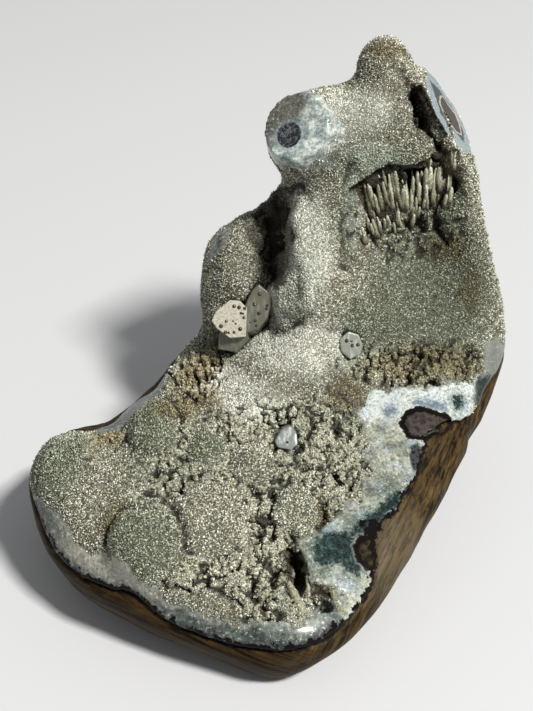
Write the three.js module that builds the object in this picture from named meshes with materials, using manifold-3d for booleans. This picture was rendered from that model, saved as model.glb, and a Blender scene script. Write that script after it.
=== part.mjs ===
// A jasper stalactite specimen: a chair-shaped lump of brown basalt whose hollow face is lined with
// a crust of grey-green drusy jasper, with stalactite stubs at its top, ground and polished along
// its rim, and with small apophyllite crystals on the crust.
//
// All sizes are in millimetres. The specimen is shaped lying on its back, with u to the right, v up
// the face and w out of the face, and is then tipped up to stand on the flat cut under the basalt.
import * as THREE from "three";
import { edgeTable, triTable } from "three/addons/objects/MarchingCubes.js";
import { ConvexGeometry } from "three/addons/geometries/ConvexGeometry.js";
import { mergeVertices } from "three/addons/utils/BufferGeometryUtils.js";
import Module from "manifold-3d";

const wasm = await Module();
wasm.setup();

// Driving dimensions
const TIP_UP = THREE.MathUtils.degToRad(55); // from lying on its back to standing
const KNEE_HEIGHT = 42; // the face's origin, where seat and back meet, above the cut base
const CRUST_CELL = 4.4; // size of the sampling cells on the drusy crust
const BASALT_CELL = 7.8; // the same on the smooth basalt
const CONTACT_GAP = 0.3; // between the crust and what it touches
const SAMPLED = { low: [-64, -78, -62], high: [70, 88, 54] }; // corners of the block that is sampled
const HOLLOW_SIDES = 8; // around a hole
const HOLLOW_RINGS = 5; // down a hole
const SEAT = { rounding: 14, edge: 25, middle: 62 }; // reach of the rim's rounding, and thicknesses
const BACK = { rounding: 6, edge: 14, middle: 36 }; // the same for the upright back
const SEAT_TOP = -8; // v where the seat starts to turn into the back
const BACK_FOOT = 14; // v where it is all back
const HULL_REACH = 32; // from the rim to where the underside is at its full depth

// The closed rim, seen square on to the face: [u, v, w].
const RIM = [
  [36, 70.5, 6], [43.5, 69.5, 8], [49.6, 65.6, 6], [52.7, 59, 4], [52.7, 51, 4], [53.2, 43.6, 2],
  [54.4, 36.4, 0], [56.9, 26.7, -3], [59.4, 16.7, -5], [61, 9.1, -6], [61.2, 3.3, -5],
  [59.3, -4, -1], [55.5, -12.1, 5], [49.9, -21.1, 13], [42.4, -32.3, 22], [34.9, -42.9, 31],
  [28.4, -51, 37], [21.6, -58.5, 42], [14.2, -64.6, 44], [8.1, -68.3, 44], [2.2, -70.2, 43],
  [-2.4, -69.6, 42], [-10.6, -66.4, 41], [-18.8, -64, 39], [-25.6, -61.8, 37], [-33.5, -58.2, 35],
  [-41.6, -54.1, 33], [-46.8, -49, 31], [-50.9, -44.4, 28], [-54, -36.6, 25], [-55.8, -30.4, 22],
  [-55.3, -26.8, 19], [-54, -23.5, 16], [-50.7, -20.7, 13], [-43.9, -19.8, 11], [-38.9, -18.8, 9],
  [-36.5, -16.5, 7], [-32.5, -12.2, 3], [-28.5, -10.3, 1], [-25.8, -5.7, -2], [-22, -1.1, -5],
  [-19, 3.2, -7], [-15.4, 7.1, -9], [-16.6, 12.8, -10], [-16.2, 22.1, -10], [-15.6, 26.6, -9],
  [-13.6, 30.7, -8], [-7.8, 34.6, -7], [-2.4, 37.8, -6], [1.6, 41.4, -4], [6, 45, 1],
  [10, 53, 6], [15, 62, 8], [19.5, 66, 6], [28, 68.7, 6],
];

// Places on the face and how far they stand out: [u, v, w]. The last rows are the ridge, its steep
// left flank with the gully beside it, and the lobe beyond the gully.
const FACE = [
  [-47.4, -28.6, 23], [-36.3, -26.6, 21], [-27, -26.6, 21], [-14.5, -19.9, 17], [-28.1, -15.6, 9],
  [-37.1, -38.9, 32], [-26.5, -47.8, 38], [-14.4, -47.6, 39], [-11.6, -34.8, 28], [-1.5, -26.7, 20],
  [7.6, -32.9, 25], [14.9, -26.9, 18], [-1.4, -54.3, 43], [7.1, -57.1, 45], [15.8, -52.6, 42],
  [-6.4, -10.8, 8], [5.7, -8.4, 8], [18, -10.9, 6], [27.6, -18.1, 9], [8, -20.1, 14],
  [20.9, -41.3, 32], [31.3, -29.2, 19], [42, -18, 11], [-13.1, 2.7, -6], [-4.2, 9, -7],
  [8.3, 3.8, 4], [21.1, 2.6, -3], [33.6, 1.4, -2], [46.3, 1.4, -2], [57, 1.4, -3],
  [33.9, 16.6, -6], [46.8, 14.1, -7], [56, 14.2, -5], [20.5, 30.8, 3.5], [33.8, 31.8, -6],
  [46.5, 31.8, -5], [40.4, 44.6, 3], [49, 41.1, 2], [13, 42.5, 12], [27.5, 43, 7],
  [17.6, 53.9, 13], [27, 58.4, 14], [18.5, 18.7, 4.5],
  [6.4, 31.5, 10.5], [12, 31, 10], [6.4, 24, 10], [12, 24, 9.5], [6.6, 17, 8.5], [12, 14, 7.5],
  [4.4, 33, 2], [4.3, 26, 1], [4.8, 19, 1], [2.4, 39.5, -8], [1.8, 34, -12], [1.6, 27, -12.5],
  [2.2, 20, -11], [8.8, 28, 11.5],
  [-3.8, 31, -6], [-2.8, 24, -5.5], [-10.5, 25.5, -4], [-11, 17, -4.5], [-3.4, 17.5, -5.5], [3, 13, -5],
];

// Rounded knobs of the crust: centre on the face, radius and rise.
const DOMES = [
  { u: -26.4, v: -40.8, radius: 9.6, rise: 7.5 },
  { u: -12.2, v: -36, radius: 8.8, rise: 5 },
  { u: -27, v: -16.6, radius: 7.5, rise: 5.5 },
  { u: -48.2, v: -25.6, radius: 8.5, rise: 4 },
  { u: 7, v: -35, radius: 6, rise: 4 },
  { u: -14.2, v: -21, radius: 6, rise: 2.5 },
  { u: -3.4, v: -24.6, radius: 6, rise: 2.5 },
  { u: 4, v: -5, radius: 12, rise: 3 },
  { u: 18, v: 10, radius: 10, rise: 2 },
];

// Stalactite stubs: from and to are the ends of the centre line.
const FINGER = { from: [29.5, 56, 4], to: [28.8, 71.2, 8], radius: 6.7 };
const EYE_STUB = { from: [15, 49, -6], to: [10, 53.4, 8.8], radius: 10.4 };
const TOP_MASS = { from: [16, 55.4, 3], to: [31, 57, 3], radius: 11 };
const STUB_BLEND = 3;

// The deep slot beside the sliced stalactite: ends of its mouth, width, and where its floor is.
const SLOT = { from: [36, 63.5], to: [42.2, 52.5], width: 4.4, floor: -10, height: 40 };

// Holes: middle of the mouth, radii across the face and depth, all pointing into the stone.
const HOLES = [
  { at: [6.2, -47.4, 37], radii: [3, 6.8], deep: 14, lean: 0.35 },
  { at: [12, -54, 40], radii: [3.4, 1.8], deep: 6, lean: 0.5 },
  { at: [-3.3, -40.1, 32], radii: [2, 3], deep: 6, lean: 0 },
  { at: [-9.6, -45.6, 36], radii: [1.3, 1.6], deep: 4, lean: 0 },
  { at: [16.5, -29.5, 21], radii: [1.8, 2.6], deep: 5, lean: 0 },
  { at: [-20.5, -17.5, 11], radii: [1.6, 1.3], deep: 5, lean: 0 },
  { at: [20, -58, 38], radii: [1.9, 1.3], deep: 4, lean: 0.2 },
];

// The recess under the top mass, and the slender columns that hang across it.
const RECESS = { middle: [35.2, 40.2], radii: [15.2, 7.6, 9], lift: -0.5 };
const COLUMNS = {
  count: 19, left: 23.5, right: 48, top: 43, foot: 31, lean: 3.5, radius: 1.2, tipRadius: 0.7, sides: 5,
};

// Patches of small knobs and of small pits in the druse: the middle of each, its reach across and
// up the face, how many there are, and how big.
const KNOB_PATCHES = [
  { middle: [4, -23], reach: [13, 9], count: 13, size: 2 },
  { middle: [-1, -43], reach: [9, 12], count: 10, size: 1.9 },
  { middle: [-35, -21.5], reach: [9, 3], count: 5, size: 1.8 },
  { middle: [19, -20], reach: [8, 8], count: 6, size: 1.7 },
];
const PIT_PATCHES = [
  { middle: [13, -26], reach: [9, 9], count: 8, size: 1.4 },
  { middle: [47, -2], reach: [7, 4], count: 6, size: 1.4 },
  { middle: [-18, -26], reach: [6, 4], count: 3, size: 1.2 },
];

// Small flats ground on the stone: a point of each, the way that it faces, and half its reach.
const EYE_FLAT = { point: [8.4, 52.8, 16], faces: [-0.42, 0.12, 0.9], reach: 14 };
const SLICE_FLAT = { point: [41.2, 58.7, 8], faces: [0.8, 0.38, 0.46], reach: 30 };
const BEVEL = { height: 4.6, slopeU: -0.2, slopeV: -0.709, top: -10, lift: 0.06 };

// The hollow in the middle of the sliced stalactite.
const SLICE_HOLLOW = { at: [45.2, 57.2, 2], radii: [1.9, 4.6], deep: 9 };

// Where crust and basalt meet: along the line that shows on the rim, then on the hidden rim and
// under the middle of the face.
const CONTACT = [
  [-56.5, -31, 16], [-54.5, -37.5, 21], [-51, -43.5, 24.5], [-47.2, -48, 27.5], [-41.7, -49, 29.5],
  [-34.9, -51.7, 33.5], [-30.6, -51.9, 35.8], [-26, -55.4, 36.2], [-19.4, -59.4, 36.8], [-12.1, -61.8, 38.7],
  [-5.7, -63.1, 40.5], [1, -63.4, 42.8], [5.4, -63.3, 43], [11.9, -61.3, 42.3], [16.5, -58.7, 40],
  [21.4, -55, 35.8], [24.8, -50.6, 32.5], [25.7, -46.3, 30.6], [24.7, -41.4, 28.6], [29.4, -38.1, 24.9],
  [33.3, -33.8, 20.8], [37.6, -26.9, 15.3], [39.4, -23.3, 12.6], [41.5, -18.5, 9], [46.5, -16.5, 5.2],
  [52.3, -14.5, -0.5], [57.5, -6, -7],
  [61, 4, -13], [59.5, 17, -13], [57, 27, -12], [54, 37, -12], [53, 50, -14],
  [46, 66, -16], [30, 68, -12], [17, 62, -8], [9, 47, -12], [0, 40, -15],
  [-8, 34, -17], [-15.5, 26, -19], [-16, 13, -19], [-19, 4, -17], [-26, -5, -12],
  [-33, -12, -7], [-39, -19, -1], [-51, -21, 4], [0, 20, -22], [25, 30, -16],
  [40, 15, -18], [20, 5, -14], [5, -15, 0], [-20, -28, 10], [10, -38, 16],
  [5, -48, 16], [-38, -36, 17], [25, -8, -4], [12, -54, 24],
];

// Apophyllite crystals: the outline of each at its front in u and v, how far its front stands out,
// how deep it reaches into the crust, how much wider it is there, and how its front slopes.
const CRYSTALS = {
  cream: {
    outline: [
      [-13.5, 8.5], [-12.2, 6.6], [-9, 4.3], [-5.1, 4.6], [-4.8, 11.7], [-6.6, 13.5], [-9, 13.7],
      [-12.5, 10.8],
    ],
    front: 4.5, depth: 13, widening: 1.06, slope: [0.1, 0.05],
  },
  clear: {
    outline: [
      [-5.6, 5.4], [-5.2, 12.4], [-3.4, 16], [-1.9, 17.4], [0.4, 15.6], [1.4, 13.6], [0.2, 9.2], [-1.9, 6.6],
    ],
    front: 2.8, depth: 11, widening: 1.22, slope: [0.5, 0.15],
  },
  under: {
    outline: [[-11.6, 5.6], [-12, 1.6], [-7.4, 0.8], [-4.4, 4], [-5, 6.5]],
    front: 1.8, depth: 10, widening: 1.15, slope: [-0.1, -0.35],
  },
  middle: {
    outline: [[19, 1.2], [18.6, 4.2], [20.6, 6], [23.2, 4.8], [23.6, 0.8], [21.4, -0.6]],
    front: 1.2, depth: 6, widening: 1.15, slope: [0.25, 0.2],
  },
  low: {
    outline: [[2.4, -20.4], [2.8, -18], [5, -17.2], [7, -18.6], [6.4, -21.2], [4.2, -22]],
    front: 18.6, depth: 7, widening: 1.15, slope: [0.1, 0.45],
  },
};
const CLUSTER = ["cream", "clear", "under"];

const CRUST_LOOK = { color: 0x8b8c7a, roughness: 0.75 };
const BASALT_LOOK = { color: 0x5a4530, roughness: 0.35 };
const CRYSTAL_LOOK = { color: 0xd8d6c8, roughness: 0.25 };

const lerp = THREE.MathUtils.lerp;
const clamp = THREE.MathUtils.clamp;

function smoothMin(a, b, reach) {
  const share = clamp(0.5 + (0.5 * (b - a)) / reach, 0, 1);
  return lerp(b, a, share) - reach * share * (1 - share);
}

function smoothMax(a, b, reach) {
  return -smoothMin(-a, -b, reach);
}

// The smooth height w(u, v) that passes through the given places, as a thin plate bends.
function thinPlate(places) {
  const n = places.length;
  const size = n + 3;
  const kernel = (r2) => (r2 > 0 ? r2 * Math.log(r2) : 0);
  const rows = [];
  for (let i = 0; i < size; i++) rows.push(new Float64Array(size + 1));
  places.forEach(([u, v, w], i) => {
    places.forEach(([s, t], j) => {
      rows[i][j] = kernel((u - s) ** 2 + (v - t) ** 2);
    });
    [1, u, v].forEach((term, k) => {
      rows[i][n + k] = term;
      rows[n + k][i] = term;
    });
    rows[i][size] = w;
  });
  const weights = solve(rows);
  return (u, v) => {
    let w = weights[n] + weights[n + 1] * u + weights[n + 2] * v;
    for (let j = 0; j < n; j++) {
      w += weights[j] * kernel((u - places[j][0]) ** 2 + (v - places[j][1]) ** 2);
    }
    return w;
  };
}

// Gaussian elimination with pivoting; the last column is the right-hand side.
function solve(rows) {
  const size = rows.length;
  for (let c = 0; c < size; c++) {
    let best = c;
    for (let r = c + 1; r < size; r++) {
      if (Math.abs(rows[r][c]) > Math.abs(rows[best][c])) best = r;
    }
    [rows[c], rows[best]] = [rows[best], rows[c]];
    for (let r = 0; r < size; r++) {
      if (r === c) continue;
      const share = rows[r][c] / rows[c][c];
      if (share === 0) continue;
      for (let k = c; k <= size; k++) rows[r][k] -= share * rows[c][k];
    }
  }
  return rows.map((row, i) => row[size] / row[i]);
}

// Distance to the rim's outline across the face, negative inside it.
const OUTLINE_POINTS = 170;
const outline = new THREE.CatmullRomCurve3(
  RIM.map(([u, v]) => new THREE.Vector3(u, v, 0)),
  true,
  "centripetal",
).getPoints(OUTLINE_POINTS);

function outlineDistance(u, v) {
  let nearest = Infinity;
  let inside = false;
  for (let i = 0, j = outline.length - 1; i < outline.length; j = i++) {
    const a = outline[i];
    const b = outline[j];
    const eu = b.x - a.x;
    const ev = b.y - a.y;
    const length2 = eu * eu + ev * ev || 1;
    const t = clamp(((u - a.x) * eu + (v - a.y) * ev) / length2, 0, 1);
    const du = u - a.x - eu * t;
    const dv = v - a.y - ev * t;
    nearest = Math.min(nearest, du * du + dv * dv);
    if (a.y > v !== b.y > v && u < (eu * (v - a.y)) / ev + a.x) inside = !inside;
  }
  return inside ? -Math.sqrt(nearest) : Math.sqrt(nearest);
}

function capsuleDistance(p, { from, to, radius }) {
  const place = new THREE.Vector3(...p);
  const centreLine = new THREE.Line3(new THREE.Vector3(...from), new THREE.Vector3(...to));
  return centreLine.closestPointToPoint(place, true, new THREE.Vector3()).distanceTo(place) - radius;
}

const openFace = thinPlate([...RIM, ...FACE]);
const rimHeight = thinPlate(RIM);

// The bevel ground along the right of the seat, which turns up clear of the face above its top edge.
function bevelHeight(u, v) {
  const past = Math.max(v - BEVEL.top, 0);
  return BEVEL.height + BEVEL.slopeU * u + BEVEL.slopeV * v + BEVEL.lift * past * past;
}

function faceHeight(u, v) {
  let w = openFace(u, v);
  for (const dome of DOMES) {
    const away = Math.hypot(u - dome.u, v - dome.v) / dome.radius;
    if (away < 1) w += dome.rise * Math.pow(1 - away * away, 0.7);
  }
  return smoothMin(w, bevelHeight(u, v), 1);
}

// How far the underside lies below the rim's surface, depth being how far inside the outline.
function thickness(v, depth) {
  const full = lerp(SEAT.middle, BACK.middle, THREE.MathUtils.smoothstep(v, -25, 40));
  const edge = lerp(SEAT.edge, BACK.edge, THREE.MathUtils.smoothstep(v, SEAT_TOP, BACK_FOOT));
  const share = 1 - Math.min(Math.max(depth, 0) / HULL_REACH, 1);
  return edge + (full - edge) * (1 - share * share);
}

// The whole stone, before its flats are ground: negative inside, in about millimetres.
function stone(p) {
  const [u, v, w] = p;
  const rounding = lerp(SEAT.rounding, BACK.rounding, THREE.MathUtils.smoothstep(v, SEAT_TOP, BACK_FOOT));
  const away = outlineDistance(u, v) - rounding / 7;
  const above = w - faceHeight(u, v);
  const swell = 1.8 * Math.sin(u / 11 + 1) * Math.cos(v / 13);
  const below = 0.5 * (rimHeight(u, v) - thickness(v, -away) + swell - w);
  let d = smoothMax(above, away, rounding);
  d = smoothMax(d, below, BACK.rounding);
  for (const stub of [FINGER, EYE_STUB, TOP_MASS]) d = smoothMin(d, capsuleDistance(p, stub), STUB_BLEND);
  return d;
}

// Corner offsets and edge ends of a sampling cell, in the order that the cell tables expect.
const CORNERS = [[0, 0, 0], [1, 0, 0], [1, 1, 0], [0, 1, 0], [0, 0, 1], [1, 0, 1], [1, 1, 1], [0, 1, 1]];
const EDGES = [
  [0, 1], [1, 2], [2, 3], [3, 0], [4, 5], [5, 6], [6, 7], [7, 4], [0, 4], [1, 5], [2, 6], [3, 7],
];

// The surface where field is zero, as an indexed closed mesh.
function surfaceOf(field, { low, high }, cell) {
  const count = [0, 1, 2].map((k) => Math.ceil((high[k] - low[k]) / cell) + 1);
  const at = (i, j, k) => (k * count[1] + j) * count[0] + i;
  const place = (i, j, k) => [low[0] + i * cell, low[1] + j * cell, low[2] + k * cell];
  const values = new Float64Array(count[0] * count[1] * count[2]);
  for (let k = 0; k < count[2]; k++) {
    for (let j = 0; j < count[1]; j++) {
      for (let i = 0; i < count[0]; i++) values[at(i, j, k)] = field(place(i, j, k));
    }
  }
  const points = [];
  const faces = [];
  const made = new Map();
  for (let k = 0; k < count[2] - 1; k++) {
    for (let j = 0; j < count[1] - 1; j++) {
      for (let i = 0; i < count[0] - 1; i++) {
        const corner = CORNERS.map(([a, b, c]) => [i + a, j + b, k + c]);
        const value = corner.map((c) => values[at(...c)]);
        let pattern = 0;
        value.forEach((x, n) => {
          if (x < 0) pattern |= 1 << n;
        });
        if (!edgeTable[pattern]) continue;
        const vertexOn = (edge) => {
          const [a, b] = EDGES[edge];
          const ends = [at(...corner[a]), at(...corner[b])].sort((x, y) => x - y);
          const key = ends[0] * values.length + ends[1];
          if (!made.has(key)) {
            const share = clamp(value[a] / (value[a] - value[b]), 0.12, 0.88);
            const from = place(...corner[a]);
            const to = place(...corner[b]);
            made.set(key, points.length);
            points.push(from.map((x, n) => lerp(x, to[n], share)));
          }
          return made.get(key);
        };
        for (let t = pattern * 16; triTable[t] !== -1; t += 3) {
          faces.push([vertexOn(triTable[t]), vertexOn(triTable[t + 1]), vertexOn(triTable[t + 2])]);
        }
      }
    }
  }
  relax(points, faces, field, cell);
  return solidFrom(points.flat(), faces.flat());
}

// Evens out the triangles, and puts each vertex back on the surface after every pass.
function relax(points, faces, field, cell) {
  const around = points.map(() => new Set());
  for (const [a, b, c] of faces) {
    around[a].add(b).add(c);
    around[b].add(a).add(c);
    around[c].add(a).add(b);
  }
  const step = cell / 20;
  for (let pass = 0; pass < 4; pass++) {
    const evened = points.map((p, i) => {
      const middle = [0, 0, 0];
      for (const n of around[i]) points[n].forEach((x, k) => (middle[k] += x / around[i].size));
      return p.map((x, k) => lerp(x, middle[k], 0.5));
    });
    evened.forEach((p, i) => {
      const value = field(p);
      const slope = [0, 1, 2].map((k) => {
        const q = [...p];
        q[k] += step;
        return (field(q) - value) / step;
      });
      const steepness = Math.max(slope[0] ** 2 + slope[1] ** 2 + slope[2] ** 2, 0.25);
      const move = clamp(value / steepness, -cell / 2, cell / 2);
      points[i] = p.map((x, k) => x - move * slope[k]);
    });
  }
}

function solidFrom(coordinates, corners) {
  const solid = new wasm.Manifold(
    new wasm.Mesh({
      numProp: 3,
      vertProperties: new Float32Array(coordinates),
      triVerts: new Uint32Array(corners),
    }),
  );
  if (solid.volume() > 0) return solid;
  const turned = [];
  for (let i = 0; i < corners.length; i += 3) turned.push(corners[i], corners[i + 2], corners[i + 1]);
  return solidFrom(coordinates, turned);
}

function solidOf(geometry) {
  const bare = geometry.clone();
  bare.deleteAttribute("normal");
  bare.deleteAttribute("uv");
  const merged = mergeVertices(bare, 1e-4);
  return solidFrom([...merged.attributes.position.array], [...merged.index.array]);
}

function geometryOf(solid) {
  const mesh = solid.getMesh();
  const geometry = new THREE.BufferGeometry();
  const coordinates = new Float32Array(mesh.numVert * 3);
  for (let i = 0; i < mesh.numVert; i++) {
    coordinates.set(mesh.vertProperties.subarray(i * mesh.numProp, i * mesh.numProp + 3), i * 3);
  }
  geometry.setAttribute("position", new THREE.BufferAttribute(coordinates, 3));
  geometry.setIndex(new THREE.BufferAttribute(new Uint32Array(mesh.triVerts), 1));
  geometry.computeVertexNormals();
  return geometry;
}

// Takes off all that stands above a ground flat, within its reach.
function groundOff(solid, { point, faces, reach }) {
  const waste = new THREE.BoxGeometry(2 * reach, 2 * reach, 2 * reach);
  waste.translate(0, 0, reach);
  turnTo(waste, faces, point);
  return solid.subtract(solidOf(waste));
}

// Turns a geometry's +z to a direction and moves its origin to a place.
function turnTo(geometry, direction, place) {
  const turn = new THREE.Quaternion().setFromUnitVectors(
    new THREE.Vector3(0, 0, 1),
    new THREE.Vector3(...direction).normalize(),
  );
  geometry.applyQuaternion(turn);
  geometry.translate(...place);
  return geometry;
}

// The form that a round-bottomed hole takes away, about its mouth's middle and pointing along z.
function hollowGeometry({ radii, deep }) {
  return new THREE.SphereGeometry(1, HOLLOW_SIDES, HOLLOW_RINGS).scale(...radii, deep);
}

// A hole that leans down the face as it goes in.
function holeSolid({ at, radii, deep, lean }) {
  const hollow = hollowGeometry({ radii, deep });
  hollow.applyMatrix4(new THREE.Matrix4().makeShear(0, 0, 0, 0, 0, lean));
  return solidOf(hollow.translate(...at));
}

// The slot's form: a long capsule stretched to twice its height, so that it clears the face.
function slotSolid({ from, to, width, floor, height }) {
  const length = Math.hypot(to[0] - from[0], to[1] - from[1]);
  const slot = new THREE.CapsuleGeometry(width / 2, length, 2, 8);
  slot.scale(1, 1, (2 * height) / width);
  slot.rotateZ(Math.atan2(to[1] - from[1], to[0] - from[0]) - Math.PI / 2);
  slot.translate((from[0] + to[0]) / 2, (from[1] + to[1]) / 2, floor + height);
  return solidOf(slot);
}

// Places spread evenly over a patch in a sunflower's spiral, each with its size.
const GOLDEN_ANGLE = Math.PI * (3 - Math.sqrt(5));
function spread({ middle, reach, count, size }) {
  return Array.from({ length: count }, (_, n) => {
    const turn = n * GOLDEN_ANGLE;
    const out = Math.sqrt((n + 0.5) / count);
    const u = middle[0] + reach[0] * out * Math.cos(turn);
    const v = middle[1] + reach[1] * out * Math.sin(turn);
    return { u, v, radius: size * (1 + 0.35 * Math.sin(5.1 * n)) };
  });
}

// Turns a small rough ball and sinks it into the face to the given share of its radius.
function sunkSolid(ball, { u, v, radius }, sunk) {
  ball.rotateX(u);
  ball.rotateY(v);
  ball.translate(u, v, faceHeight(u, v) - sunk * radius);
  return solidOf(ball);
}

const knobSolid = (knob) => sunkSolid(new THREE.IcosahedronGeometry(knob.radius, 0), knob, 0.2);
const pitSolid = (pit) => sunkSolid(new THREE.OctahedronGeometry(pit.radius, 0), pit, 0);

// The slender columns in the recess, from their feet up to blunt tips that lean a little to the left.
function columnSolids() {
  const { count, left, right, top, foot, lean, radius, tipRadius, sides } = COLUMNS;
  return Array.from({ length: count }, (_, n) => {
    const share = n / (count - 1);
    const tipU = lerp(left, right, share) + 0.6 * Math.sin(7 * n);
    const tipV = top + 2.5 * Math.sin(4.7 * n);
    const footU = tipU + lean * (1 - share);
    const footV = foot + 2.5 * Math.sin(3.3 * n) + 4 * share;
    const feet = new THREE.Vector3(footU, footV, faceHeight(footU, footV) - radius);
    const tip = new THREE.Vector3(tipU, tipV, faceHeight(tipU, tipV) - 1.5 * radius);
    const column = new THREE.CylinderGeometry(tipRadius, radius, feet.distanceTo(tip), sides);
    column.rotateX(Math.PI / 2);
    return solidOf(turnTo(column, tip.clone().sub(feet), feet.clone().lerp(tip, 0.5)));
  });
}

function recessSolid({ middle, radii, lift }) {
  const recess = new THREE.SphereGeometry(1, 10, 6).scale(...radii);
  return solidOf(recess.translate(...middle, faceHeight(...middle) + lift));
}

// The sheet where crust and basalt meet, through the line that shows on the rim.
const contactHeight = thinPlate(CONTACT);
const SHEET = { low: [-72, -84], high: [76, 92], steps: [28, 33], top: 90 };

// All that lies above the contact sheet, raised by rise.
function aboveContact(rise) {
  const [du, dv] = [SHEET.high[0] - SHEET.low[0], SHEET.high[1] - SHEET.low[1]];
  const block = new THREE.BoxGeometry(du, dv, 2, ...SHEET.steps, 1);
  block.translate((SHEET.low[0] + SHEET.high[0]) / 2, (SHEET.low[1] + SHEET.high[1]) / 2, 0);
  const position = block.getAttribute("position");
  for (let i = 0; i < position.count; i++) {
    const sheet = contactHeight(position.getX(i), position.getY(i)) + rise;
    position.setZ(i, position.getZ(i) > 0 ? SHEET.top : sheet);
  }
  return solidOf(block);
}

const standing = new THREE.Matrix4()
  .makeTranslation(0, 0, KNEE_HEIGHT)
  .multiply(new THREE.Matrix4().makeRotationX(TIP_UP));

// Everything below the flat that the stone stands on.
function underBase() {
  const waste = new THREE.BoxGeometry(400, 400, 100);
  waste.translate(0, 0, -50);
  waste.applyMatrix4(standing.clone().invert());
  return solidOf(waste);
}

// A crystal with flat faces: its sloping front, and the wider back that is rooted in the crust.
function crystalSolid({ outline, front, depth, widening, slope }, grow = 0) {
  const middle = [0, 1].map((k) => outline.reduce((sum, point) => sum + point[k], 0) / outline.length);
  const points = outline.flatMap((point) => {
    const [du, dv] = [0, 1].map((k) => point[k] - middle[k]);
    const wider = 1 + grow / Math.hypot(du, dv);
    const w = front - slope[0] * du - slope[1] * dv;
    const root = wider * widening;
    return [
      new THREE.Vector3(middle[0] + du * wider, middle[1] + dv * wider, w + grow),
      new THREE.Vector3(middle[0] + du * root, middle[1] + dv * root, front - depth - grow),
    ];
  });
  return solidOf(new ConvexGeometry(points));
}

const turnedHollow = turnTo(hollowGeometry(SLICE_HOLLOW), SLICE_FLAT.faces, SLICE_HOLLOW.at);
let crust = surfaceOf(stone, SAMPLED, CRUST_CELL);
crust = groundOff(groundOff(crust, EYE_FLAT), SLICE_FLAT);
const cuts = [slotSolid(SLOT), solidOf(turnedHollow), recessSolid(RECESS), ...HOLES.map(holeSolid)];
for (const patch of PIT_PATCHES) cuts.push(...spread(patch).map(pitSolid));
crust = crust.subtract(wasm.Manifold.union(cuts));
const growths = columnSolids();
for (const patch of KNOB_PATCHES) growths.push(...spread(patch).map(knobSolid));
crust = wasm.Manifold.union([crust, ...growths]).intersect(aboveContact(CONTACT_GAP / 2));

const crystals = {
  apophyllite_cluster: CLUSTER,
  apophyllite_middle: ["middle"],
  apophyllite_low: ["low"],
};
const pieces = new THREE.Group();
function addPiece(name, solid, look) {
  const piece = new THREE.Mesh(geometryOf(solid), new THREE.MeshStandardMaterial(look));
  piece.name = name;
  pieces.add(piece);
}

for (const [name, members] of Object.entries(crystals)) {
  addPiece(name, wasm.Manifold.union(members.map((key) => crystalSolid(CRYSTALS[key]))), CRYSTAL_LOOK);
  for (const key of members) crust = crust.subtract(crystalSolid(CRYSTALS[key], CONTACT_GAP));
}
crust = crust.decompose().sort((a, b) => b.volume() - a.volume())[0];
addPiece("jasper_crust", crust, CRUST_LOOK);

let basalt = surfaceOf(stone, SAMPLED, BASALT_CELL).subtract(aboveContact(-CONTACT_GAP / 2));
basalt = groundOff(basalt, SLICE_FLAT).subtract(underBase());
basalt = basalt.decompose().sort((a, b) => b.volume() - a.volume())[0];
addPiece("basalt_matrix", basalt, BASALT_LOOK);

// Stands the specimen up and puts its origin in the middle under it.
pieces.applyMatrix4(standing);
const reach = new THREE.Box3().setFromObject(pieces, true);
const middle = reach.getCenter(new THREE.Vector3());
const specimen = new THREE.Group();
specimen.position.set(-middle.x, -middle.y, -reach.min.z);
specimen.add(pieces);
export default specimen;
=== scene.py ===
# A jasper stalactite specimen: a chair-shaped lump of brown basalt whose hollow face is lined with a
# crust of grey-green jasper under a sugary druse, with ground stalactite stubs at its top, a polished
# rim, and small apophyllite crystals on the crust.
import math

import bmesh
import bpy
import numpy as np
from mathutils import Matrix, Vector
from mathutils.bvhtree import BVHTree


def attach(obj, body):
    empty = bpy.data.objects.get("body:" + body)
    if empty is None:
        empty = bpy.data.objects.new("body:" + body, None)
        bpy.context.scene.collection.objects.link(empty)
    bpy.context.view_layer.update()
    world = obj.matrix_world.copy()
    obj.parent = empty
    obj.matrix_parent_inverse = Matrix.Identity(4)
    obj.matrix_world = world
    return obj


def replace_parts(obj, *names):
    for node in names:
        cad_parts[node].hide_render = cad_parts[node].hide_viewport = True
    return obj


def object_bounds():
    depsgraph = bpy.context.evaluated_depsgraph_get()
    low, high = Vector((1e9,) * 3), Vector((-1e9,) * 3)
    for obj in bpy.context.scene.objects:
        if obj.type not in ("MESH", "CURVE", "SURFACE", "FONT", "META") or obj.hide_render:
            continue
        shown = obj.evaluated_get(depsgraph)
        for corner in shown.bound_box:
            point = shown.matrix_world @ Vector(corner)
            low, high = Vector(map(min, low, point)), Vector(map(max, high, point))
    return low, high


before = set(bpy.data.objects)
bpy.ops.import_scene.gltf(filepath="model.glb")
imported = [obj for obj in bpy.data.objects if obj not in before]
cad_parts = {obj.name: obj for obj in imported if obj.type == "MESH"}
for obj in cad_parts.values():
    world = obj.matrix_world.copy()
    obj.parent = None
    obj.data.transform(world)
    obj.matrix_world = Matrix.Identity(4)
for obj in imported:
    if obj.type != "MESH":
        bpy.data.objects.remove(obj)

cad_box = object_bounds()

# The face's own frame, in millimetres: u to the right, v up the face and w out of it. Its origin is
# where the seat and the back meet.
MM = 0.001
TIP_UP = math.radians(55)
KNEE = np.array((-2.365, 10.395, 42.0))
FACE_AXES = np.array(Matrix.Rotation(TIP_UP, 3, "X"))

# The camera looks square on to the face.
VIEW_ELEVATION = math.radians(35)
VIEW_DISTANCE = 296 * MM
LENS = 60

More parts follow.
